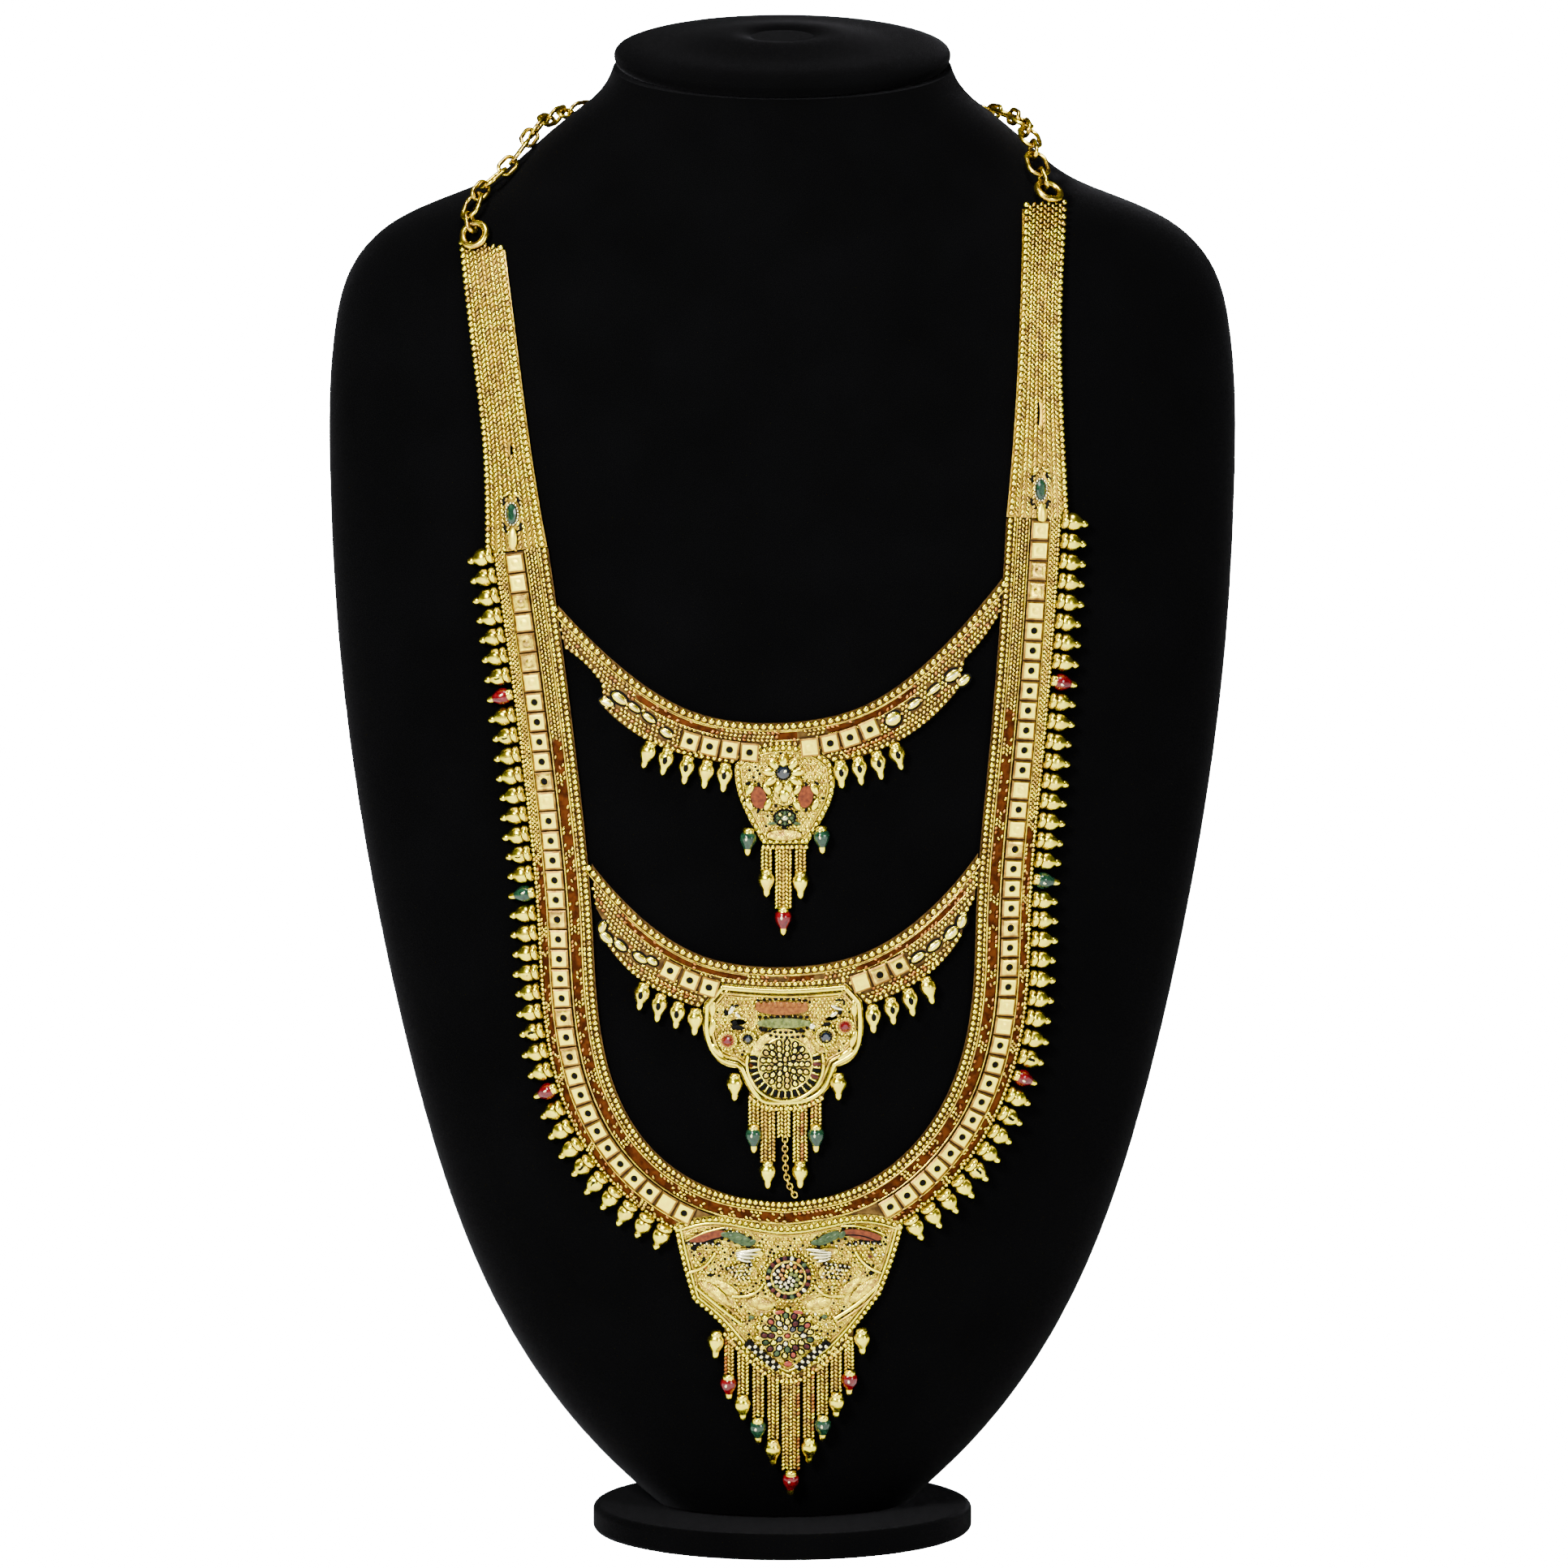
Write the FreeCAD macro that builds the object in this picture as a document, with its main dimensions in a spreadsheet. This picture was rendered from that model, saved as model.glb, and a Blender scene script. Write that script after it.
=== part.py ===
"""Rani haar: a three tier gold necklace lying on a velvet neck bust with a round foot.

Millimetres. The bust stands on the plane z = 0, its front faces -Y and +X is the viewer's right.
The origin is the centre of the foot's underside.
"""
import FreeCAD, Part
import Sketcher
import math
import os
from FreeCAD import Placement, Rotation, Vector

doc = FreeCAD.newDocument("rani_haar")

# Driving dimensions
SIZES = {
    # heights above the velvet at which thin metal starts and ends
    "seat_level": 0.3,
    "plate_level": 1.8,
    "relief_level": 2.8,
    "inlay_core": 1.2,
    "inlay_low": 1.9,
    "inlay_top": 2.6,
    "room_gap": 0.25,
    # the stand
    "back_radius": 420.0,
    "back_depth": 44.0,
    "neck_top": 472.5,
    "cap_tilt": 9.0,
    "part_gap": 0.3,
    "foot_radius": 61.0,
    "foot_thick": 8.5,
    "foot_round": 2.0,
    # the long band: offsets from the middle of its tile row
    "band_inner": 10.2,
    "band_outer": 6.8,
    "tile": 5.6,
    "tile_pitch": 6.35,
    "tile_thick": 2.2,
    "half_gap": 0.2,
    # bud drops
    "drop_head": 1.05,
    "drop_bud": 2.0,
    "drop_bud_depth": 3.5,
    "drop_cone_top": 1.897,
    "drop_cone_shift": 0.635,
    "drop_cone_long": 3.43,
    "drop_tip": 0.75,
    "drop_tip_long": 0.95,
    "drop_height": 2.45,
    "drop_reach": 0.25,
    "drop_sag": 0.15,
    "drop_start": 0.4,
    "drop_pitch": 6.36,
    # back chain
    "link_wire": 0.7,
    "long_link": 11.4,
    "long_link_wide": 8.0,
    "short_link": 8.6,
    "short_link_wide": 5.8,
    "link_slack": 0.15,
    "chain_height": 3.7,
    "eye_radius": 3.9,
    "eye_wire": 1.05,
    "eye_level": 2.95,
    "eye_slack": 0.7,
    "hook_loop": 2.4,
    "hook_half": 4.0,
    # cut stones
    "stone_table": 0.62,
    "stone_girdle": 0.45,
}

# Horizontal sections of the bust: height, half width, half depth
BUST_SECTIONS = [
    (9.0, 40.0, 30.0),
    (27.0, 59.5, 37.0),
    (59.0, 83.9, 46.0),
    (106.5, 105.8, 54.0),
    (154.0, 119.5, 58.0),
    (217.0, 132.6, 61.0),
    (280.0, 141.2, 62.0),
    (343.0, 144.6, 60.0),
    (390.0, 142.6, 56.5),
    (411.0, 135.8, 54.0),
    (422.0, 125.0, 52.0),
    (430.0, 108.5, 50.0),
    (438.0, 90.2, 48.0),
    (447.0, 79.0, 46.5),
    (457.0, 67.2, 45.0),
    (467.5, 56.0, 44.0),
    (484.0, 51.5, 43.5),
]

# Sections of the cap: height above the neck, half width, half depth
CAP_SECTIONS = [
    (0.0, 51.6, 43.6),
    (1.2, 53.0, 44.6),
    (4.6, 53.2, 44.8),
    (5.8, 51.4, 43.0),
    (7.3, 44.0, 36.6),
    (8.55, 30.0, 25.0),
    (9.3, 10.0, 8.4),
]

# Middle of the tile rows on the bust's front, from the strap to the lowest point: x, z
LEFT_ROW = [
    (-84.2, 322.6), (-79.2, 287.0), (-74.0, 244.0), (-70.6, 206.0), (-68.6, 174.0),
    (-61.0, 143.5), (-46.5, 122.6), (-24.0, 109.0), (0.8, 105.0),
]
RIGHT_ROW = [
    (81.0, 333.0), (78.6, 294.0), (75.2, 253.0), (71.8, 211.0), (70.2, 177.0),
    (62.4, 146.7), (47.2, 124.3), (25.0, 109.6), (0.8, 105.0),
]

# Straps: inner edge and outer edge, top to bottom
LEFT_STRAP = {
    "inner": [(-87.8, 417.5), (-83.8, 387.0), (-79.4, 354.0), (-74.4, 324.5)],
    "outer": [(-101.4, 418.5), (-97.6, 386.3), (-94.0, 354.0), (-93.6, 321.8)],
}
RIGHT_STRAP = {
    "inner": [(76.0, 430.1), (75.0, 394.0), (73.0, 358.0), (70.9, 334.1)],
    "outer": [(89.3, 430.1), (87.6, 394.0), (88.6, 360.0), (90.2, 332.9)],
}

# Slots worn through the straps: x, z, half width, half height
LEFT_SLOT = (-85.6, 354.8, 0.55, 2.4)
RIGHT_SLOT = (80.9, 366.5, 0.55, 4.0)

# Festoons: upper edge, then the lower edge as stretches that meet at corners, left to right
UPPER_FESTOON = {
    "top": [(-71.0, 306.0), (-50.0, 286.0), (-27.0, 272.6), (-1.0, 269.6), (24.0, 274.2),
            (46.0, 288.8), (69.6, 314.6)],
    "bottom": [
        [(-68.8, 292.6), (-62.8, 288.2), (-57.0, 281.6)],
        [(-57.0, 281.6), (-56.4, 274.0)],
        [(-56.4, 274.0), (-46.0, 265.6), (-28.0, 258.6), (-15.8, 256.6)],
        [(-15.8, 256.6), (-13.4, 258.4), (14.4, 258.4), (16.0, 257.2)],
        [(16.0, 257.2), (30.0, 260.6), (45.4, 269.4), (55.4, 279.6)],
        [(55.4, 279.6), (57.6, 289.4)],
        [(57.6, 289.4), (63.2, 295.6), (68.2, 303.0)],
    ],
}
LOWER_FESTOON = {
    "top": [(-60.4, 223.6), (-45.0, 207.0), (-27.0, 195.4), (-1.0, 191.3), (26.0, 195.8),
            (46.0, 208.8), (62.0, 227.0)],
    "bottom": [
        [(-59.0, 209.4), (-56.8, 205.6)],
        [(-56.8, 205.6), (-56.6, 199.6)],
        [(-56.6, 199.6), (-47.0, 188.4), (-36.0, 181.8), (-26.4, 178.2)],
        [(-26.4, 178.2), (-19.6, 186.4)],
        [(-19.6, 186.4), (0.4, 185.2), (20.4, 186.4)],
        [(20.4, 186.4), (27.0, 179.0)],
        [(27.0, 179.0), (38.0, 183.6), (48.6, 190.6), (57.0, 201.4)],
        [(57.0, 201.4), (57.6, 206.6)],
        [(57.6, 206.6), (61.0, 213.4)],
    ],
}

# Raised tiles of the festoons: x, z, turn in degrees
UPPER_TILES = [
    (-29.0, 263.8, -17.0), (-22.8, 262.2, -13.0), (-16.5, 261.2, -8.0), (8.6, 262.0, 6.0),
    (15.0, 263.3, 12.0), (21.2, 265.1, 18.0), (27.4, 267.6, 23.0),
]
LOWER_TILES = [
    (-35.2, 190.2, -26.0), (-29.0, 187.2, -22.0), (24.6, 186.6, 18.0), (30.6, 189.0, 22.0),
    (36.6, 191.8, 27.0),
]

# Pendant plates: corner points joined by straight and curved stretches
UPPER_PENDANT = [
    [(-15.0, 256.2), (-13.1, 258.1), (14.1, 258.1), (15.6, 256.6)],
    [(15.6, 256.6), (16.2, 248.0), (11.8, 237.4), (8.0, 231.0)],
    [(8.0, 231.0), (-6.2, 231.0)],
    [(-6.2, 231.0), (-9.6, 237.0), (-13.9, 247.0), (-15.0, 256.2)],
]
MIDDLE_PENDANT = [
    [(-19.4, 186.1), (0.4, 184.9), (20.2, 186.1)],
    [(20.2, 186.1), (25.2, 180.4)],
    [(25.2, 180.4), (25.6, 170.6), (23.6, 163.4), (17.2, 159.2)],
    [(17.2, 159.2), (12.9, 150.5), (7.6, 147.4), (0.3, 146.6), (-6.6, 147.4), (-9.8, 150.5),
     (-14.0, 158.8)],
    [(-14.0, 158.8), (-20.6, 161.2), (-24.6, 168.6), (-24.7, 179.7)],
    [(-24.7, 179.7), (-19.4, 186.1)],
]
LOWER_PENDANT = [
    [(-34.4, 107.4), (-24.0, 110.4), (1.4, 107.6), (28.0, 110.8), (38.4, 107.6)],
    [(38.4, 107.6), (35.4, 96.6), (31.2, 84.8)],
    [(31.2, 84.8), (24.0, 75.0), (14.0, 64.4), (1.8, 57.4)],
    [(1.8, 57.4), (-10.4, 64.6), (-19.4, 74.8), (-28.4, 82.8)],
    [(-28.4, 82.8), (-31.0, 92.0), (-34.4, 107.4)],
]

# Raised work on the plates: x, z, half width, half height, turn in degrees
UPPER_RELIEF = [
    (0.3, 254.0, 3.2, 3.2, 0.0),
    (0.6, 246.4, 3.4, 3.0, 0.0),
    (0.6, 234.0, 5.4, 1.6, 0.0),
]
MIDDLE_RELIEF = [
    (0.3, 161.4, 10.6, 10.2, 0.0),
    (-17.2, 167.8, 2.7, 2.7, 0.0),
    (-10.8, 168.4, 2.3, 2.3, 0.0),
    (13.6, 169.2, 2.9, 2.9, 0.0),
    (19.7, 172.4, 2.6, 2.6, 0.0),
]
LOWER_RELIEF = [
    (1.8, 90.3, 7.6, 7.6, 0.0),
    (1.4, 71.6, 9.0, 7.6, 0.0),
    (-12.8, 91.6, 4.8, 3.4, 12.0),
    (16.4, 91.6, 4.8, 3.4, -12.0),
    (-10.4, 98.8, 4.4, 1.3, -6.0),
    (13.4, 98.8, 4.4, 1.3, 6.0),
]

# Openings pierced through the middle pendant: x, z, half width, half height, turn
MIDDLE_PIERCED = [(-14.0, 173.6, 2.6, 1.0, 0.0), (15.6, 174.8, 2.0, 0.8, 12.0)]

# Enamel inlays: x, z, half width, half height, turn in degrees
ENAMEL = {
    "enamel_red_upper": [(-7.5, 245.8, 2.4, 3.6, 12.0), (7.4, 246.2, 2.3, 3.6, -12.0)],
    "enamel_green_upper": [(0.8, 239.4, 3.0, 2.2, 0.0)],
    "enamel_red_middle": [(-0.2, 178.2, 8.4, 2.1, 0.0)],
    "enamel_green_middle": [(0.4, 173.4, 8.4, 1.6, 0.0)],
    "enamel_red_lower": [(-24.0, 103.9, 6.0, 1.5, 14.0), (25.6, 104.3, 6.2, 1.5, -12.0)],
    "enamel_green_lower": [(-13.6, 103.2, 4.6, 1.7, -22.0), (14.4, 103.4, 4.2, 1.5, 26.0)],
}

# Cut stones on the metal: x, z, half width, half height, points of the girdle, turn, height of
# the foot above the velvet
STONES = {
    "blue_stone": [(0.3, 254.0, 1.9, 1.9, 16, 0.0, 2.9)],
    "strap_stone_left": [(-85.0, 334.6, 1.5, 3.2, 10, 0.0, 1.9)],
    "strap_stone_right": [(81.2, 342.4, 1.5, 3.2, 10, 0.0, 1.9)],
    "ring_stones_red": [(-17.2, 167.8, 1.3, 1.3, 12, 0.0, 2.9), (19.7, 172.4, 1.3, 1.3, 12, 0.0, 2.9)],
    "ring_stones_blue": [(-10.8, 168.4, 1.2, 1.2, 12, 0.0, 2.9), (13.6, 169.2, 1.5, 1.5, 12, 0.0, 2.9)],
}

# Drops of the festoons: x and z of the head, swing from straight down in degrees
UPPER_DROPS = [
    (-41.4, 262.7, -18.0), (-36.0, 260.7, -14.0), (-29.6, 258.4, -10.0), (-23.6, 257.0, -8.0),
    (-17.9, 256.1, -6.0), (18.2, 257.0, 4.0), (23.8, 258.2, 8.0), (29.6, 259.8, 12.0),
    (35.4, 262.4, 16.0),
]
LOWER_DROPS = [
    (-43.6, 185.3, -12.0), (-38.2, 181.9, -10.0), (-32.6, 179.4, -8.0), (-27.2, 177.4, -4.0),
    (28.4, 178.6, 2.0), (34.0, 180.8, 8.0), (39.6, 183.6, 12.0), (45.2, 187.2, 16.0),
]

# Hanging chains of the fringes, each a flat woven strand: x, top z, bottom z, width
UPPER_STRANDS = [(-5.0, 230.4, 222.6, 2.8), (0.3, 230.4, 210.6, 4.4), (5.7, 230.4, 222.0, 2.8)]
MIDDLE_STRANDS = [
    (-9.0, 150.4, 140.4, 2.8), (-4.6, 149.4, 128.6, 4.0), (0.4, 148.4, 136.6, 3.4),
    (5.6, 149.4, 128.6, 4.0), (10.6, 150.4, 140.4, 2.8),
]
LOWER_STRANDS = [
    (-16.8, 71.6, 58.6, 2.2), (-12.4, 67.4, 51.8, 3.0), (-7.6, 64.0, 44.2, 3.0),
    (-2.9, 61.0, 36.8, 3.0), (2.6, 59.0, 26.4, 5.0), (8.3, 61.4, 37.4, 3.0),
    (12.6, 64.4, 45.0, 3.0), (16.9, 67.8, 52.6, 3.0), (21.0, 71.4, 60.0, 2.2),
]
# Rails that carry the strands along the plates' lower edges
UPPER_RAIL = [(-6.4, 230.7), (8.2, 230.7), (8.2, 229.5), (-6.4, 229.5)]
MIDDLE_RAIL = [
    (-10.6, 150.8), (-6.7, 147.6), (0.3, 146.8), (7.8, 147.6), (13.4, 150.8),
    (12.6, 148.2), (7.8, 145.6), (0.3, 144.8), (-6.7, 145.6), (-10.0, 148.2),
]
LOWER_RAIL = [
    (-18.4, 74.0), (-10.4, 64.1), (1.8, 56.9), (14.2, 63.9), (22.6, 73.0),
    (22.6, 69.6), (14.2, 62.1), (1.8, 55.1), (-10.4, 62.3), (-18.4, 70.4),
]

# Drops at the fringes: x and z of the head, swing in degrees
FRINGE_DROPS = {
    "fringe_drops_upper": [(-5.0, 222.2, 0.0), (5.7, 221.6, 0.0)],
    "fringe_drops_middle": [
        (-15.0, 156.4, 0.0), (17.6, 156.6, 0.0), (-4.6, 128.2, 0.0), (5.6, 128.2, 0.0),
    ],
    "fringe_drops_lower": [
        (-20.6, 72.4, -4.0), (24.8, 73.2, 4.0), (-12.4, 51.4, 0.0), (16.9, 52.2, 0.0),
        (-2.9, 36.4, 0.0), (8.3, 37.0, 0.0),
    ],
}
RUBY_FRINGE = [(0.3, 210.2, 0.0), (-16.8, 58.2, 0.0), (21.0, 59.6, 0.0), (2.6, 26.0, 0.0)]
EMERALD_FRINGE = [
    (-10.6, 235.4, -3.0), (12.2, 236.0, 3.0), (-9.0, 140.0, 0.0), (10.6, 140.0, 0.0),
    (-7.6, 43.8, 0.0), (12.6, 44.6, 0.0),
]

# Side rows of drops: how many, and which ones are ruby or emerald
LEFT_SIDE = {"count": 37, "ruby": (7, 27), "emerald": (17,)}
RIGHT_SIDE = {"count": 38, "ruby": (8, 28), "emerald": (18,)}
TILES_A_SIDE = 37

# Eye rings on the straps' ends: x, z
LEFT_EYE = (-96.4, 420.6)
RIGHT_EYE = (83.4, 432.8)

# The short chain from the middle fringe to the long band: x, z
TIE_ROUTE = [(0.8, 136.0), (0.9, 129.0), (1.9, 121.6), (4.4, 116.8)]
TIE_RADIUS = 0.8
TIE_HEIGHT = 1.4
# share of the shorter run that an arc of the tie chain takes at a corner
ARC_SHARE = 0.45

# Back chain on the bust: turn about the neck from the front in degrees, z
LEFT_CHAIN = [(71.5, 421.2), (76.5, 430.5), (81.5, 440.0), (88.0, 449.0), (105.0, 453.0),
              (140.0, 455.0), (180.0, 455.0)]
RIGHT_CHAIN = [(67.8, 433.6), (77.0, 442.0), (86.0, 449.8), (105.0, 453.4), (140.0, 455.0),
               (180.0, 455.0)]

# Turn of the short and the long links about the chain's run, in degrees
SHORT_ROLL = 72.0
LONG_ROLL = -18.0

# How far the outlines are carried forward through the bust's front
FRONT_REACH = 90.0
# Straight sides that stand for one curved stretch of a pendant's room
ROOM_STEPS = 18

sheet = doc.addObject("Spreadsheet::Sheet", "Sizes")


def fill_sheet():
    """Writes every driving dimension and the bust's section table, each with an alias."""
    cells = dict(SIZES)
    for number, (height, half, depth) in enumerate(BUST_SECTIONS):
        cells[f"bust_height_{number}"] = height
        cells[f"bust_half_{number}"] = half
        cells[f"bust_depth_{number}"] = depth
    for row, (alias, value) in enumerate(cells.items(), 1):
        sheet.set(f"A{row}", alias)
        sheet.set(f"B{row}", str(value))
        sheet.setAlias(f"B{row}", alias)
    doc.recompute()


def size(alias):
    """A driving dimension, read back from the sheet."""
    return float(sheet.get(alias))


def bust_loft(name, level):
    """The bust's skin lofted through ellipses, grown outwards by a level of the sheet."""
    grow = f" + Sizes.{level}" if level else ""
    sections = []
    for number in range(len(BUST_SECTIONS)):
        ring = doc.addObject("Part::Ellipse", f"{name}_ring_{number}")
        ring.setExpression("MajorRadius", f"Sizes.bust_half_{number}{grow}")
        ring.setExpression("MinorRadius", f"Sizes.bust_depth_{number}{grow}")
        ring.setExpression("Placement.Base.z", f"Sizes.bust_height_{number}")
        sections.append(ring)
    loft = doc.addObject("Part::Loft", name)
    loft.Sections = sections
    loft.Solid = True
    loft.Ruled = False
    return loft


def skin_hit(origin, direction):
    """Where a ray meets the bust's skin, with the skin's outward normal there."""
    surface = skin_surface
    reach = 50.0
    for _ in range(12):
        u, v = surface.parameter(origin + direction * reach)
        foot = surface.value(u, v)
        normal = surface.normal(u, v)
        reach = (foot - origin).dot(normal) / direction.dot(normal)
    if normal.dot(direction) < 0:
        normal = -normal
    return origin + direction * reach, normal


def on_front(x, z, height=0.0):
    """The point of the bust's front at x, z, lifted off the velvet, and the normal there."""
    point, normal = skin_hit(Vector(x, 0, z), Vector(0, -1, 0))
    return point + normal * height, normal


def on_neck(turn, z, height):
    """The point of the skin seen from the neck's axis at a turn from the front."""
    angle = math.radians(turn)
    point, normal = skin_hit(Vector(0, 0, z), Vector(math.sin(angle), -math.cos(angle), 0))
    return point + normal * height


def curve_through(points):
    """A smooth curve in the plane of the sketch through x, z points."""
    if len(points) == 2:
        return Part.LineSegment(Vector(*points[0], 0), Vector(*points[1], 0))
    curve = Part.BSplineCurve()
    curve.interpolate([Vector(x, z, 0) for x, z in points])
    return curve


def offset_points(row, distance):
    """Points beside a row, on the right of its direction for a positive distance."""
    curve = curve_through(row)
    points = []
    for x, z in row:
        tangent = curve.tangent(curve.parameter(Vector(x, z, 0)))[0]
        points.append((x + tangent.y * distance, z - tangent.x * distance))
    return points


def closed_outline(name, stretches):
    """An outline in the XZ plane, drawn as a sketch: each stretch is a list of x, z points."""
    outline = doc.addObject("Sketcher::SketchObject", f"{name}_outline")
    outline.Placement = Placement(Vector(0, 0, 0), Rotation(Vector(1, 0, 0), 90))
    for stretch in stretches:
        outline.addGeometry(curve_through(stretch), False)
    return outline


def ellipse_outline(name, ovals):
    """Ovals in the XZ plane: x, z, half width, half height, turn."""
    outline = doc.addObject("Sketcher::SketchObject", f"{name}_outline")
    outline.Placement = Placement(Vector(0, 0, 0), Rotation(Vector(1, 0, 0), 90))
    for x, z, half_wide, half_high, turn in ovals:
        angle = math.radians(turn)
        across = Vector(math.cos(angle), math.sin(angle), 0)
        upward = Vector(-math.sin(angle), math.cos(angle), 0)
        centre = Vector(x, z, 0)
        if half_wide > half_high:
            oval = Part.Ellipse(centre + across * half_wide, centre + upward * half_high, centre)
        elif half_high > half_wide:
            oval = Part.Ellipse(centre + upward * half_high, centre - across * half_wide, centre)
        else:
            oval = Part.Circle(centre, Vector(0, 0, 1), half_wide)
        outline.addGeometry(oval, False)
    return outline


def prism(name, outline):
    """An outline carried straight forward through the bust's front."""
    solid = doc.addObject("Part::Extrusion", f"{name}_prism")
    solid.Base = outline
    solid.DirMode = "Custom"
    solid.Dir = Vector(0, -1, 0)
    solid.LengthFwd = FRONT_REACH
    solid.Solid = True
    return solid


def conform(name, outline, low, top):
    """Sheet metal that follows the bust between two levels above the velvet."""
    outer = doc.addObject("Part::Common", f"{name}_outer")
    outer.Base = prism(name, outline)
    outer.Tool = levels[top]
    plate = doc.addObject("Part::Cut", f"{name}_plate")
    plate.Base = outer
    plate.Tool = levels[low]
    return plate


def fused(name, shapes):
    """Soldered pieces as one solid."""
    joined = doc.addObject("Part::MultiFuse", f"{name}_joined")
    joined.Shapes = shapes
    return joined


def room_for(name, stretches):
    """The space of a pendant plate with a small gap around it, through the bust's front."""
    corners = []
    for stretch in stretches:
        curve = curve_through(stretch)
        steps = ROOM_STEPS if len(stretch) > 2 else 1
        span = curve.LastParameter - curve.FirstParameter
        corners += [curve.value(curve.FirstParameter + span * k / steps) for k in range(steps)]
    grown = []
    for before, corner, after in zip(corners[-1:] + corners[:-1], corners, corners[1:] + corners[:1]):
        first, second = (corner - before).normalize(), (after - corner).normalize()
        outward = Vector(-first.y - second.y, first.x + second.x, 0)
        outward *= size("room_gap") / (1 + first.dot(second))
        grown.append((corner.x + outward.x, corner.y + outward.y))
    grown.append(grown[0])
    sides = [grown[number:number + 2] for number in range(len(grown) - 1)]
    return prism(f"{name}_room", closed_outline(f"{name}_room", sides))


def cut(name, base, tool):
    """A piece less another."""
    less = doc.addObject("Part::Cut", f"{name}_less")
    less.Base = base
    less.Tool = tool
    return less


def feature(name, shape):
    """A shape worked out in code from the sheet's sizes."""
    holder = doc.addObject("Part::Feature", name)
    holder.Shape = shape
    return holder


def frame_at(point, normal, along):
    """A placement whose z axis is the normal and whose x axis follows a direction."""
    side = normal.cross(along).normalize()
    return Placement(point, Rotation(side.cross(normal), side, normal, "ZXY"))


def tile_boxes(name, places):
    """Raised square tiles: x, z, turn of each in the plane of the front."""
    tile, thick = size("tile"), size("tile_thick")
    boxes = []
    for x, z, turn in places:
        point, normal = on_front(x, z, size("relief_level") - thick)
        angle = math.radians(turn)
        box = Part.makeBox(tile, tile, thick, Vector(-tile / 2, -tile / 2, 0))
        box.Placement = frame_at(point, normal, Vector(math.cos(angle), 0, math.sin(angle)))
        boxes.append(box)
    return feature(f"{name}_tiles", Part.makeCompound(boxes))


def stations(row, start, pitch, count, beside=0.0):
    """Evenly spaced places along a row, or beside it: x, z and direction."""
    curve = curve_through(offset_points(row, beside) if beside else row)
    places = []
    for number in range(count):
        parameter = curve.parameterAtDistance(start + number * pitch, curve.FirstParameter)
        point, tangent = curve.value(parameter), curve.tangent(parameter)[0]
        places.append((point.x, point.y, tangent))
    return places


def bust():
    """The torso with its neck, cut by a gently rounded back and by the neck's slanted top."""
    back = doc.addObject("Part::Cylinder", "bust_back")
    back.setExpression("Radius", "Sizes.back_radius")
    back.Height = 600
    back.setExpression("Placement.Base.y", "Sizes.back_depth - Sizes.back_radius")
    body = doc.addObject("Part::Common", "bust_rounded")
    body.Base = bust_loft("bust_skin", None)
    body.Tool = back
    lid = doc.addObject("Part::Box", "bust_lid")
    lid.Length = lid.Width = 300
    lid.Height = 60
    lid.Placement = cap_frame().multiply(Placement(Vector(-150, -150, 0), Rotation()))
    return cut("bust", body, lid)


def cap_frame():
    """The slanted plane on which the neck ends, lower in front."""
    return Placement(Vector(0, 0, size("neck_top")), Rotation(Vector(1, 0, 0), size("cap_tilt")))


def bust_cap():
    """The oval padded lid of the neck."""
    sections = []
    for number, (height, half, depth) in enumerate(CAP_SECTIONS):
        ring = doc.addObject("Part::Ellipse", f"cap_ring_{number}")
        ring.MajorRadius = half
        ring.MinorRadius = depth
        lift = Vector(0, 0, height + size("part_gap"))
        ring.Placement = cap_frame().multiply(Placement(lift, Rotation()))
        sections.append(ring)
    cap = doc.addObject("Part::Loft", "cap_loft")
    cap.Sections = sections
    cap.Solid = True
    return cap


def bust_foot():
    """The round foot: a padded disc with a rounded edge."""
    body = doc.addObject("PartDesign::Body", "foot_body")
    plane = next(f for f in body.Origin.OriginFeatures if f.Role == "XY_Plane")
    drawing = body.newObject("Sketcher::SketchObject", "foot_circle")
    drawing.AttachmentSupport = (plane, [""])
    drawing.MapMode = "FlatFace"
    drawing.addGeometry(Part.Circle(Vector(0, 0, 0), Vector(0, 0, 1), size("foot_radius")), False)
    drawing.addConstraint(Sketcher.Constraint("Coincident", 0, 3, -1, 1))
    drawing.addConstraint(Sketcher.Constraint("Radius", 0, size("foot_radius")))
    drawing.setExpression("Constraints[1]", "Sizes.foot_radius")
    pad = body.newObject("PartDesign::Pad", "foot_pad")
    pad.Profile = drawing
    pad.setExpression("Length", "Sizes.foot_thick")
    doc.recompute()
    rounded = body.newObject("PartDesign::Fillet", "foot_rounded")
    rims = [f"Edge{i}" for i, edge in enumerate(pad.Shape.Edges, 1) if edge.isClosed()]
    rounded.Base = (pad, rims)
    rounded.setExpression("Radius", "Sizes.foot_round")
    body.Tip = rounded
    return body


def strap(name, edges, slot):
    """A woven strap between its inner and outer edge, with a slot where its rows part."""
    inner, outer = edges["inner"], edges["outer"]
    outline = closed_outline(name, [
        inner, [inner[-1], outer[-1]], outer[::-1], [outer[0], inner[0]],
    ])
    woven = conform(name, outline, "seat_level", "plate_level")
    x, z, half_wide, half_high = slot
    hole = prism(f"{name}_slot", ellipse_outline(f"{name}_slot", [(x, z, half_wide, half_high, 0)]))
    return cut(name, woven, hole)


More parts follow.
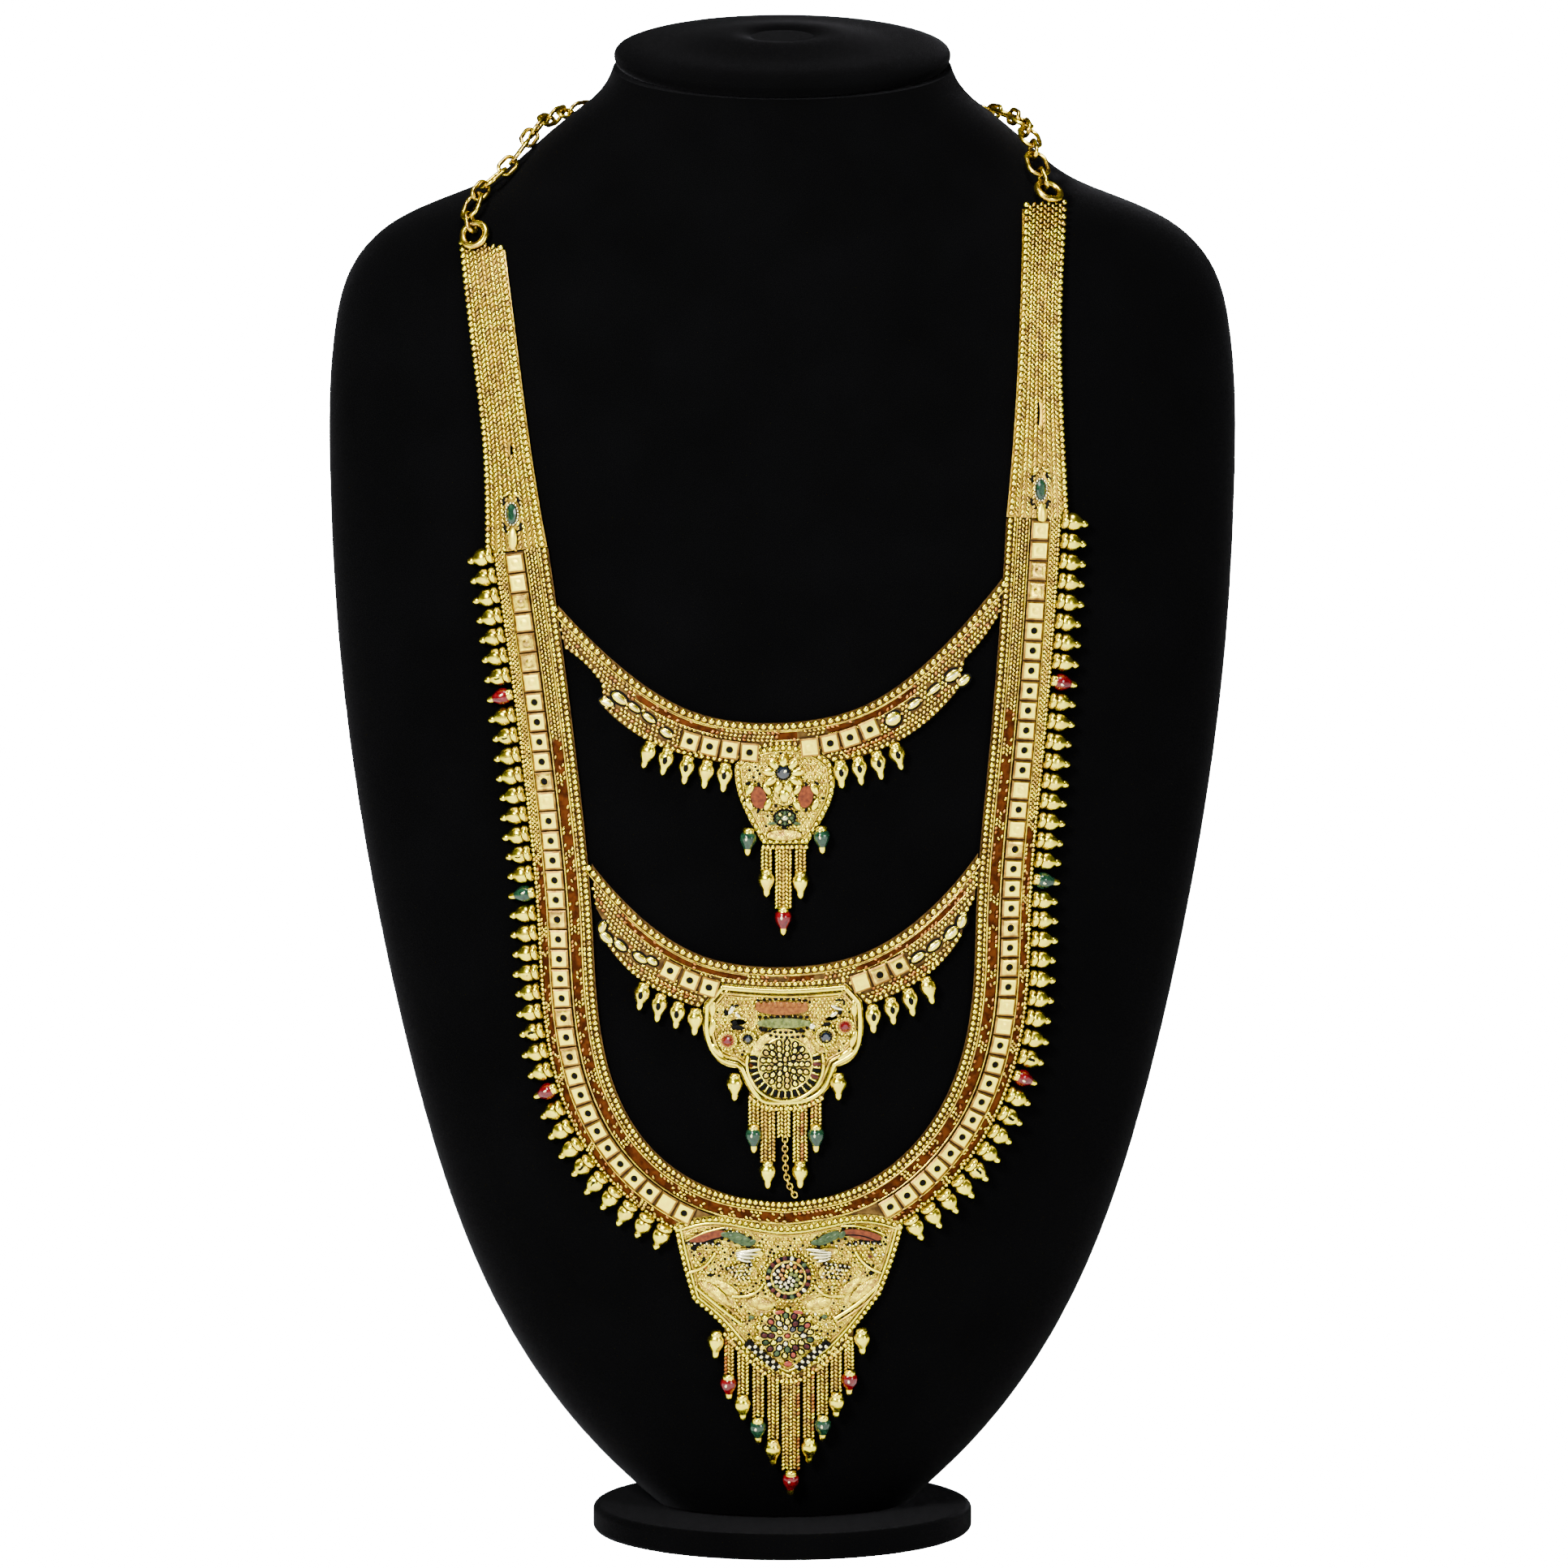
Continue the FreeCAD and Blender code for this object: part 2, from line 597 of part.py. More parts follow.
def long_band(name, row, inner_side):
    """Half of the long band: a curved plate along its tile row with raised tiles."""
    half_gap = size("half_gap") / 2 * (1 if row[0][0] > 0 else -1)
    ended = row[:-1] + [(row[-1][0] + half_gap, row[-1][1])]
    inner = offset_points(ended, inner_side * size("band_inner"))
    outer = offset_points(ended, -inner_side * size("band_outer"))
    inner[-1] = (ended[-1][0], inner[-1][1])
    outer[-1] = (ended[-1][0], outer[-1][1])
    outline = closed_outline(name, [
        inner, [inner[-1], outer[-1]], outer[::-1], [outer[0], inner[0]],
    ])
    plate = conform(name, outline, "seat_level", "plate_level")
    pitch = size("tile_pitch")
    places = []
    for x, z, tangent in stations(ended, pitch * 0.55, pitch, TILES_A_SIDE):
        places.append((x, z, math.degrees(math.atan2(tangent.y, tangent.x))))
    whole = fused(name, [plate, tile_boxes(name, places)])
    return cut(name, whole, rooms["lower"])


def festoon(name, edges, tiles, room):
    """A swag of woven strap, widened by a lower tier in its middle, cut for its pendant."""
    top, bottom = edges["top"], edges["bottom"]
    outline = closed_outline(name, [
        top, [top[-1], bottom[-1][-1]], *[stretch[::-1] for stretch in bottom[::-1]],
        [bottom[0][0], top[0]],
    ])
    plate = conform(name, outline, "seat_level", "plate_level")
    return cut(name, fused(name, [plate, tile_boxes(name, tiles)]), room)


def pendant(name, stretches, relief, pierced=()):
    """A cast pendant plate with raised work, pierced where the photo shows the velvet."""
    plate = conform(name, closed_outline(name, stretches), "seat_level", "plate_level")
    raised = conform(f"{name}_relief", ellipse_outline(f"{name}_relief", relief),
                     "inlay_core", "relief_level")
    cast = fused(name, [plate, raised])
    if not pierced:
        return cast
    return cut(name, cast, prism(f"{name}_pierced", ellipse_outline(f"{name}_pierced", pierced)))


def fringe(name, strands, rail, room):
    """A fringe of flat woven chains fused to the rail under the pendant that carries them."""
    bars = []
    for number, (x, top, bottom, wide) in enumerate(strands):
        left, right = x - wide / 2, x + wide / 2
        box = [(left, top), (right, top), (right, bottom), (left, bottom), (left, top)]
        outline = closed_outline(f"{name}_{number}", [box[i:i + 2] for i in range(4)])
        bars.append(conform(f"{name}_{number}", outline, "seat_level", "plate_level"))
    loop = rail + rail[:1]
    outline = closed_outline(f"{name}_rail", [loop[i:i + 2] for i in range(len(rail))])
    bars.append(conform(f"{name}_rail", outline, "seat_level", "plate_level"))
    return cut(name, fused(name, bars), room)


def drop_master():
    """One bud drop hanging down from its head at the origin."""
    head = doc.addObject("Part::Sphere", "drop_head_ball")
    head.setExpression("Radius", "Sizes.drop_head")
    head.setExpression("Placement.Base.z", "-Sizes.drop_head")
    bud = doc.addObject("Part::Sphere", "drop_bud_ball")
    bud.setExpression("Radius", "Sizes.drop_bud")
    bud.setExpression("Placement.Base.z", "-Sizes.drop_bud_depth")
    taper = doc.addObject("Part::Cone", "drop_taper")
    taper.setExpression("Radius1", "Sizes.drop_tip")
    taper.setExpression("Radius2", "Sizes.drop_cone_top")
    taper.setExpression("Height", "Sizes.drop_cone_long")
    taper.setExpression(
        "Placement.Base.z",
        "-Sizes.drop_bud_depth - Sizes.drop_cone_shift - Sizes.drop_cone_long")
    tip = doc.addObject("Part::Cylinder", "drop_tip_post")
    tip.setExpression("Radius", "Sizes.drop_tip")
    tip.setExpression("Height", "Sizes.drop_tip_long")
    tip.setExpression(
        "Placement.Base.z",
        "-Sizes.drop_bud_depth - Sizes.drop_cone_shift - Sizes.drop_cone_long"
        " - Sizes.drop_tip_long")
    return fused("drop_master", [head, bud, taper, tip])


def drop_at(x, z, direction):
    """A copy of the drop with its head at x, z, lying on the velvet along a direction."""
    middle = size("drop_bud_depth")
    centre, normal = on_front(x + direction.x * middle, z + direction.z * middle,
                              size("drop_height"))
    flat = (direction - normal * direction.dot(normal)).normalize()
    copy = drop.Shape.copy()
    turned = Rotation(flat.cross(normal), normal * -1, flat * -1, "ZXY")
    copy.Placement = Placement(centre - flat * middle, turned)
    return copy


def hanging(places):
    """Drops that hang down with a small swing: x, z, swing."""
    drops = []
    for x, z, swing in places:
        angle = math.radians(swing)
        drops.append(drop_at(x, z, Vector(math.sin(angle), 0, -math.cos(angle))))
    return drops


def side_drops(row, inner_side, count):
    """The drops along the long band's outer edge, pointing outwards and a little down."""
    beside = -inner_side * (size("band_outer") + size("drop_reach"))
    drops = []
    for x, z, tangent in stations(row, size("drop_start"), size("drop_pitch"), count, beside):
        outward = Vector(tangent.y, 0, -tangent.x) * -inner_side
        drops.append(drop_at(x, z, (outward + Vector(0, 0, -size("drop_sag"))).normalize()))
    return drops


def picked(drops, numbers):
    """The drops with these numbers."""
    return [drops[number] for number in numbers]


def without(drops, numbers):
    """The drops without these numbers."""
    return [drop for number, drop in enumerate(drops) if number not in numbers]


def cut_stone(x, z, half_wide, half_high, corners, turn, foot):
    """A cut stone: a girdle of straight facets, a crown and a flat table."""
    point, normal = on_front(x, z, foot)
    girdle, crown = size("stone_girdle"), size("stone_girdle")
    rings = []
    for height, shrink in ((0, 1), (girdle, 1), (girdle + crown, size("stone_table"))):
        corner = [
            Vector(half_wide * shrink * math.cos(2 * math.pi * k / corners),
                   half_high * shrink * math.sin(2 * math.pi * k / corners), height)
            for k in range(corners)
        ]
        rings.append(Part.makePolygon(corner + corner[:1]))
    stone = Part.makeLoft(rings, True, True)
    angle = math.radians(turn)
    stone.Placement = frame_at(point, normal, Vector(math.cos(angle), 0, math.sin(angle)))
    return stone


def link_shape(length, wide):
    """One oval chain link in the XY plane: two half rings and two straight wires."""
    wire = size("link_wire")
    bend = wide / 2 - wire
    reach = length / 2 - wire - bend
    parts = []
    for side in (1, -1):
        half = Part.makeTorus(bend, wire, Vector(0, 0, 0), Vector(0, 0, 1), 0, 360, 180)
        half.rotate(Vector(0, 0, 0), Vector(0, 0, 1), -90 * side)
        half.translate(Vector(reach * side, 0, 0))
        parts.append(half)
        if reach > 0:
            parts.append(Part.makeCylinder(wire, 2 * reach, Vector(-reach, bend * side, 0),
                                           Vector(1, 0, 0)))
    return parts[0].multiFuse(parts[1:])


def chain_curve(eye, route):
    """The line of the back chain, from the middle of the eye ring to the middle of the back."""
    side = 1 if eye[0] > 0 else -1
    points = [on_front(*eye, size("eye_level"))[0]]
    points += [on_neck(turn * side, z, size("chain_height")) for turn, z in route[1:]]
    curve = Part.BSplineCurve()
    curve.interpolate(points)
    return curve


def roll_normal(point, tangent):
    """The outward direction at a point of the chain, square to its run."""
    axis_point = Vector(0, 0, point.z)
    outward = point - axis_point
    _, normal = skin_hit(axis_point, outward.normalize())
    return (normal - tangent * normal.dot(tangent)).normalize()


def back_chain(eye, route):
    """Interlocking long and short links from the eye ring to the hook at the back."""
    wire = size("link_wire")
    long_half, short_half = size("long_link") / 2, size("short_link") / 2
    curve = chain_curve(eye, route)
    first = size("eye_radius") - size("eye_wire") - wire - size("eye_slack") + short_half - wire
    last = size("hook_half") + size("hook_loop") - 2 * wire - size("link_slack")
    last += short_half - wire
    run = curve.length() - first - last
    snug = long_half + short_half - 4 * wire - size("link_slack")
    steps = 2 * math.ceil(run / snug / 2)
    links = []
    for number in range(steps + 1):
        parameter = curve.parameterAtDistance(first + run * number / steps, curve.FirstParameter)
        point, tangent = curve.value(parameter), curve.tangent(parameter)[0]
        normal = roll_normal(point, tangent)
        short = number % 2 == 0
        link = link_shape(*((size("short_link"), size("short_link_wide")) if short
                            else (size("long_link"), size("long_link_wide"))))
        roll = Rotation(Vector(1, 0, 0), SHORT_ROLL if short else LONG_ROLL)
        facing = Rotation(tangent, normal.cross(tangent), normal, "XZY")
        link.Placement = Placement(point, facing.multiply(roll))
        links.append(link)
    print("back chain: run", round(run, 1), "pitch", round(run / steps, 2), "snug", snug)
    return links


def eye_ring(eye):
    """The ring on a strap's end."""
    point, normal = on_front(*eye, size("eye_level"))
    return Part.makeTorus(size("eye_radius"), size("eye_wire"), point, normal)


def hook_clasp():
    """A plain S hook of wire that holds both chain ends at the back of the neck."""
    loop, half, wire = size("hook_loop"), size("hook_half"), size("link_wire")
    lean = math.asin(loop / half)

    def on_loop(angle):
        return Vector(-half + loop * math.cos(angle), loop * math.sin(angle), 0)

    opened = math.radians(-40)
    closed = math.pi / 2 - lean
    around = Part.Arc(on_loop(opened), on_loop(math.pi * 1.05), on_loop(closed))
    flip = [on_loop(angle) * -1 for angle in (closed, math.pi * 1.05, opened)]
    path = Part.Wire([
        around.toShape(),
        Part.LineSegment(on_loop(closed), flip[0]).toShape(),
        Part.Arc(*flip).toShape(),
    ])
    start = on_loop(opened)
    tangent = Vector(math.sin(opened), -math.cos(opened), 0)
    section = Part.Wire(Part.Circle(start, tangent, wire).toShape())
    hook = path.makePipeShell([section], True, False)
    point = on_neck(180, LEFT_CHAIN[-1][1], size("chain_height"))
    hook.Placement = Placement(point, Rotation(Vector(-1, 0, 0), Vector(0, 0, 1),
                                               Vector(0, 1, 0), "XYZ"))
    return hook


def tie_tube():
    """The short tie chain as a tube of straight runs joined by tangent arcs."""
    points = [on_front(x, z, TIE_HEIGHT)[0] for x, z in TIE_ROUTE]
    edges, start = [], points[0]
    for before, corner, after in zip(points, points[1:], points[2:]):
        back, ahead = (before - corner), (after - corner)
        shorter = min(back.Length, ahead.Length)
        back.normalize()
        ahead.normalize()
        turn = math.pi - back.getAngle(ahead)
        setback = ARC_SHARE * shorter
        radius = setback / math.tan(turn / 2)
        middle = corner + (back + ahead).normalize() * (radius / math.cos(turn / 2) - radius)
        first, second = corner + back * setback, corner + ahead * setback
        edges.append(Part.LineSegment(start, first).toShape())
        edges.append(Part.Arc(first, middle, second).toShape())
        start = second
        print("tie chain: arc radius", round(radius, 1))
    edges.append(Part.LineSegment(start, points[-1]).toShape())
    path = Part.Wire(edges)
    section = Part.Wire(Part.Circle(points[0], points[1] - points[0], TIE_RADIUS).toShape())
    tube = path.makePipeShell([section], True, False)
    print("tie chain: volume", round(tube.Volume, 2), "section times length",
          round(math.pi * TIE_RADIUS ** 2 * path.Length, 2))
    return tube


fill_sheet()
skin = bust_loft("reference_skin", None)
levels = {
    level: bust_loft(f"skin_{level}", level)
    for level in ("seat_level", "plate_level", "relief_level", "inlay_low", "inlay_top",
                  "inlay_core")
}
doc.recompute()
skin_surface = next(f.Surface for f in skin.Shape.Faces if "BSpline" in f.Surface.TypeId)

nodes = {}
nodes["bust_body"] = bust()
nodes["bust_cap"] = bust_cap()
nodes["bust_foot"] = bust_foot()

rooms = {
    "upper": room_for("upper", UPPER_PENDANT),
    "middle": room_for("middle", MIDDLE_PENDANT),
    "lower": room_for("lower", LOWER_PENDANT),
}

nodes["strap_left"] = strap("strap_left", LEFT_STRAP, LEFT_SLOT)
nodes["strap_right"] = strap("strap_right", RIGHT_STRAP, RIGHT_SLOT)
nodes["band_left"] = long_band("band_left", LEFT_ROW, -1)
nodes["band_right"] = long_band("band_right", RIGHT_ROW, 1)
nodes["festoon_upper"] = festoon("festoon_upper", UPPER_FESTOON, UPPER_TILES, rooms["upper"])
nodes["festoon_lower"] = festoon("festoon_lower", LOWER_FESTOON, LOWER_TILES, rooms["middle"])
nodes["pendant_upper"] = pendant("pendant_upper", UPPER_PENDANT, UPPER_RELIEF)
nodes["pendant_middle"] = pendant("pendant_middle", MIDDLE_PENDANT, MIDDLE_RELIEF, MIDDLE_PIERCED)
nodes["pendant_lower"] = pendant("pendant_lower", LOWER_PENDANT, LOWER_RELIEF)
nodes["fringe_upper"] = fringe("fringe_upper", UPPER_STRANDS, UPPER_RAIL, rooms["upper"])
nodes["fringe_middle"] = fringe("fringe_middle", MIDDLE_STRANDS, MIDDLE_RAIL, rooms["middle"])
nodes["fringe_lower"] = fringe("fringe_lower", LOWER_STRANDS, LOWER_RAIL, rooms["lower"])
for name, ovals in ENAMEL.items():
    nodes[name] = conform(name, ellipse_outline(name, ovals), "inlay_low", "inlay_top")

drop = drop_master()
doc.recompute()
left_row_drops = side_drops(LEFT_ROW, -1, LEFT_SIDE["count"])
right_row_drops = side_drops(RIGHT_ROW, 1, RIGHT_SIDE["count"])
loose = {
    "drops_left": without(left_row_drops, LEFT_SIDE["ruby"] + LEFT_SIDE["emerald"]),
    "drops_right": without(right_row_drops, RIGHT_SIDE["ruby"] + RIGHT_SIDE["emerald"]),
    "drops_upper": hanging(UPPER_DROPS),
    "drops_lower": hanging(LOWER_DROPS),
    "ruby_drops": picked(left_row_drops, LEFT_SIDE["ruby"])
    + picked(right_row_drops, RIGHT_SIDE["ruby"]) + hanging(RUBY_FRINGE),
    "emerald_drops": picked(left_row_drops, LEFT_SIDE["emerald"])
    + picked(right_row_drops, RIGHT_SIDE["emerald"]) + hanging(EMERALD_FRINGE),
    "chain_left": back_chain(LEFT_EYE, LEFT_CHAIN),
    "chain_right": back_chain(RIGHT_EYE, RIGHT_CHAIN),
    "eye_ring_left": [eye_ring(LEFT_EYE)],
    "eye_ring_right": [eye_ring(RIGHT_EYE)],
    "hook_clasp": [hook_clasp()],
    "tie_chain": [tie_tube()],
}
for name, places in FRINGE_DROPS.items():
    loose[name] = hanging(places)
for name, stones in STONES.items():
    loose[name] = [cut_stone(*stone) for stone in stones]
for name, shapes in loose.items():
    nodes[name] = feature(name, shapes[0] if len(shapes) == 1 else Part.makeCompound(shapes))

for name, node in nodes.items():
    node.Label = name
doc.recompute()

failed = [o.Name for o in doc.Objects if "Invalid" in o.State or "Error" in o.State]
if failed:
    raise SystemExit(f"objects failed: {failed}")
for name, node in nodes.items():
    if node.Shape.isNull() or not node.Shape.isValid():
        raise SystemExit(f"{name} has no valid shape")

os.makedirs("parts", exist_ok=True)
for name, node in nodes.items():
    node.Shape.exportStep(f"parts/{name}.step")
print(len(nodes), "nodes,", sum(len(n.Shape.Solids) for n in nodes.values()), "solids")
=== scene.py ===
"""Rani haar necklace on a velvet neck bust: the photo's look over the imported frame."""
import math
import bpy
import numpy as np
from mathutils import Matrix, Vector
from mathutils.bvhtree import BVHTree


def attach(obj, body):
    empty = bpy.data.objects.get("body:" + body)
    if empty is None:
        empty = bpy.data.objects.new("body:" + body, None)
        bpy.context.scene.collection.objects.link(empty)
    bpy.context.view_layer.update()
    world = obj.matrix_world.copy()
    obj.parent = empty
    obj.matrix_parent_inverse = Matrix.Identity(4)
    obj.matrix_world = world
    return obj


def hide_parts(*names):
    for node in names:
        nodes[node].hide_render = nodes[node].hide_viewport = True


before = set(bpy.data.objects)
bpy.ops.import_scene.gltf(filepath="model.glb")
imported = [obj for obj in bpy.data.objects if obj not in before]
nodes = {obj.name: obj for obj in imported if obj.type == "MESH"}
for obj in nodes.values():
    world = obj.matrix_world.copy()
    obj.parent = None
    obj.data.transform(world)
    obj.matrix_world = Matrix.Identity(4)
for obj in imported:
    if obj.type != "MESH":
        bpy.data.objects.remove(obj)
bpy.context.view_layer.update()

rng = np.random.default_rng(7)

MM = 0.001

# Middle of the tile rows, from the strap to the lowest point: x, z in millimetres
LEFT_ROW = [
    (-84.2, 322.6), (-79.2, 287), (-74, 244), (-70.6, 206), (-68.6, 174),
    (-61, 143.5), (-46.5, 122.6), (-24, 109), (0.8, 105),
]
RIGHT_ROW = [
    (81, 333), (78.6, 294), (75.2, 253), (71.8, 211), (70.2, 177),
    (62.4, 146.7), (47.2, 124.3), (25, 109.6), (0.8, 105),
]
# Edges of the straps, and of the festoons and pendants in stretches that meet
LEFT_STRAP = {
    "inner": [(-87.8, 417.5), (-83.8, 387), (-79.4, 354), (-74.4, 324.5)],
    "outer": [(-101.4, 418.5), (-97.6, 386.3), (-94, 354), (-93.6, 321.8)],
}
RIGHT_STRAP = {
    "inner": [(76, 430.1), (75, 394), (73, 358), (70.9, 334.1)],
    "outer": [(89.3, 430.1), (87.6, 394), (88.6, 360), (90.2, 332.9)],
}
UPPER_FESTOON = {
    "top": [(-71, 306), (-50, 286), (-27, 272.6), (-1, 269.6), (24, 274.2),
            (46, 288.8), (69.6, 314.6)],
    "bottom": [
        [(-68.8, 292.6), (-62.8, 288.2), (-57, 281.6)],
        [(-57, 281.6), (-56.4, 274)],
        [(-56.4, 274), (-46, 265.6), (-28, 258.6), (-15.8, 256.6)],
        [(-15.8, 256.6), (-13.4, 258.4), (14.4, 258.4), (16, 257.2)],
        [(16, 257.2), (30, 260.6), (45.4, 269.4), (55.4, 279.6)],
        [(55.4, 279.6), (57.6, 289.4)],
        [(57.6, 289.4), (63.2, 295.6), (68.2, 303)],
    ],
}
LOWER_FESTOON = {
    "top": [(-60.4, 223.6), (-45, 207), (-27, 195.4), (-1, 191.3), (26, 195.8),
            (46, 208.8), (62, 227)],
    "bottom": [
        [(-59, 209.4), (-56.8, 205.6)],
        [(-56.8, 205.6), (-56.6, 199.6)],
        [(-56.6, 199.6), (-47, 188.4), (-36, 181.8), (-26.4, 178.2)],
        [(-26.4, 178.2), (-19.6, 186.4)],
        [(-19.6, 186.4), (0.4, 185.2), (20.4, 186.4)],
        [(20.4, 186.4), (27, 179)],
        [(27, 179), (38, 183.6), (48.6, 190.6), (57, 201.4)],
        [(57, 201.4), (57.6, 206.6)],
        [(57.6, 206.6), (61, 213.4)],
    ],
}
# Tiles of the festoons: x, z, turn in degrees
UPPER_TILES = [
    (-29, 263.8, -17), (-22.8, 262.2, -13), (-16.5, 261.2, -8), (-10.3, 260.4, -4),
    (8.6, 262, 6), (15, 263.3, 12), (21.2, 265.1, 18), (27.4, 267.6, 23),
]
LOWER_TILES = [
    (-35.2, 190.2, -26), (-29, 187.2, -22), (-23, 185, -16),
    (24.6, 186.6, 18), (30.6, 189, 22), (36.6, 191.8, 27),
]
UPPER_PENDANT = [
    [(-15, 256.2), (-13.1, 258.1), (14.1, 258.1), (15.6, 256.6)],
    [(15.6, 256.6), (16.2, 248), (11.8, 237.4), (8, 231)],
    [(8, 231), (-6.2, 231)],
    [(-6.2, 231), (-9.6, 237), (-13.9, 247), (-15, 256.2)],
]
MIDDLE_PENDANT = [
    [(-19.4, 186.1), (0.4, 184.9), (20.2, 186.1)],
    [(20.2, 186.1), (25.2, 180.4)],
    [(25.2, 180.4), (25.6, 170.6), (23.6, 163.4), (17.2, 159.2)],
    [(17.2, 159.2), (12.9, 150.5), (7.6, 147.4), (0.3, 146.6), (-6.6, 147.4), (-9.8, 150.5),
     (-14, 158.8)],
    [(-14, 158.8), (-20.6, 161.2), (-24.6, 168.6), (-24.7, 179.7)],
    [(-24.7, 179.7), (-19.4, 186.1)],
]
LOWER_PENDANT = [
    [(-34.4, 107.4), (-24, 110.4), (1.4, 107.6), (28, 110.8), (38.4, 107.6)],
    [(38.4, 107.6), (35.4, 96.6), (31.2, 84.8)],
    [(31.2, 84.8), (24, 75), (14, 64.4), (1.8, 57.4)],
    [(1.8, 57.4), (-10.4, 64.6), (-19.4, 74.8), (-28.4, 82.8)],
    [(-28.4, 82.8), (-31, 92), (-34.4, 107.4)],
]
# Strands of the fringes: x, top, bottom, width
UPPER_STRANDS = [(-5, 230.4, 222.6, 2.8), (0.3, 230.4, 210.6, 4.4), (5.7, 230.4, 222, 2.8)]
MIDDLE_STRANDS = [
    (-9, 150.4, 140.4, 2.8), (-4.6, 149.4, 128.6, 4), (0.4, 148.4, 136.6, 3.4),
    (5.6, 149.4, 128.6, 4), (10.6, 150.4, 140.4, 2.8),
]
LOWER_STRANDS = [
    (-16.8, 71.6, 58.6, 2.2), (-12.4, 67.4, 51.8, 3), (-7.6, 64, 44.2, 3),
    (-2.9, 61, 36.8, 3), (2.6, 59, 26.4, 5), (8.3, 61.4, 37.4, 3),
    (12.6, 64.4, 45, 3), (16.9, 67.8, 52.6, 3), (21, 71.4, 60, 2.2),
]

# Leaves of the festoons: x, z, half length, half width, turn in degrees
UPPER_LEAVES = [
    (-55.2, 275.6, 2.6, 1.7, 160), (-51.2, 277, 3.2, 1.9, -35), (-46.6, 274.2, 2.6, 1.3, -35),
    (-41.9, 270.9, 2.7, 1.3, -35), (-36.4, 266.2, 2.6, 1.6, -30), (57, 282.6, 2.6, 1.7, 40),
    (53.4, 284.2, 3, 1.9, 35), (47.8, 280, 2.9, 1.3, 38), (41.4, 275.4, 2.7, 1.4, 35),
    (34.8, 270.8, 2.9, 2.7, 30),
]
LOWER_LEAVES = [
    (-56.6, 203.6, 2.3, 1.6, 70), (-55.4, 200.2, 2.8, 1.8, -40), (-51, 197.8, 2.6, 1.6, -40),
    (-44.8, 194, 2.8, 1.6, -35), (-41, 193, 2.2, 1.4, -30), (56.4, 205.4, 2.5, 1.9, 70),
    (53.2, 201.8, 2.9, 2, 45), (47.8, 197.8, 2.8, 1.5, 40), (42.6, 194.2, 2.8, 1.5, 35),
]
# Channels of the festoons, painted dark as shade: from x, to x, depth below the top edge, width
UPPER_CHANNELS = [(-46, -20, 4, 2), (-3, 7, 4.2, 2.5), (14, 42, 3.9, 2.2)]
LOWER_CHANNELS = [(-50, -11, 3.8, 1.7), (-6, 14, 3.7, 1.9), (23, 58, 3.8, 1.7)]
# Parts of the plates that the grain leaves out: x, z, half width, half height
UPPER_CLEAR = [
    (0.3, 254, 3.4, 3.4), (-7.5, 245.8, 2.7, 4), (7.4, 246.2, 2.7, 4), (0.8, 239.4, 3.4, 2.6),
    (0.6, 234, 5.6, 1.8),
]
MIDDLE_CLEAR = [
    (-0.2, 178.2, 8.8, 2.6), (0.4, 173.4, 8.8, 2.1), (-14, 173.6, 2.8, 1.3), (15.6, 174.8, 2.4, 1.2),
    (-17.2, 167.8, 3.2, 3.2), (-10.8, 168.4, 2.8, 2.8), (13.6, 169.2, 3.4, 3.4), (19.7, 172.4, 3.1, 3.1),
    (0.9, 160, 12.6, 12.2),
]
LOWER_CLEAR = [
    (-24, 103.9, 6.4, 2), (25.6, 104.3, 6.4, 2), (-13.6, 103.2, 6.2, 2.2), (14.4, 103.4, 6.2, 2.2),
    (1.9, 91, 7.9, 7.9), (-10.4, 98.8, 4.6, 1.6), (13.4, 98.8, 4.6, 1.6), (-21, 84.6, 6.4, 5.6),
    (25.4, 85.4, 6.6, 5.6), (-7, 82.2, 4.6, 3), (11.4, 82.2, 4.6, 3), (1.6, 71.6, 9.4, 8.4),
]
# Relief of the frame's plates: x, z, half width, half height
RELIEFS = {
    "upper": [(0.3, 254, 3.2, 3.2), (0.6, 246.4, 3.4, 3), (0.6, 234, 5.4, 1.6)],
    "middle": [
        (0.3, 161.4, 10.6, 10.2), (-17.2, 167.8, 2.7, 2.7), (-10.8, 168.4, 2.3, 2.3),
        (13.6, 169.2, 2.9, 2.9), (19.7, 172.4, 2.6, 2.6),
    ],
    "lower": [
        (1.8, 90.3, 7.6, 7.6), (1.4, 71.6, 9, 7.6), (-12.8, 91.6, 4.6, 3.4), (16.4, 91.6, 4.6, 3.4),
        (-10.4, 98.8, 4.3, 1.4), (13.4, 98.8, 4.3, 1.4),
    ],
}
# Small inlays and pits of the plates: x, z, half width, half height, turn in degrees, material
UPPER_MARKS = [
    (-11.8, 244.5, 0.9, 0.6, -50, "pit"), (-2, 243.2, 0.7, 0.4, 0, "pit"),
    (-3.4, 241.4, 0.6, 0.4, 0, "pit"), (-5.9, 242, 0.5, 0.4, 0, "pit"),
    (-3, 237.7, 1.7, 0.5, 8, "green"), (4.2, 237.7, 1.7, 0.5, -8, "green"),
    (0.6, 236.4, 1, 0.6, 0, "pit"), (2.6, 243, 0.7, 0.4, 0, "pit"),
    (4.4, 241.2, 0.6, 0.4, 0, "pit"), (-10.8, 250.5, 0.9, 0.5, 40, "pit"),
    (10.9, 250.5, 0.9, 0.5, -40, "pit"),
    (-6.8, 235, 0.8, 0.6, 30, "pale"), (8.2, 235.4, 0.8, 0.6, -30, "pale"),
]
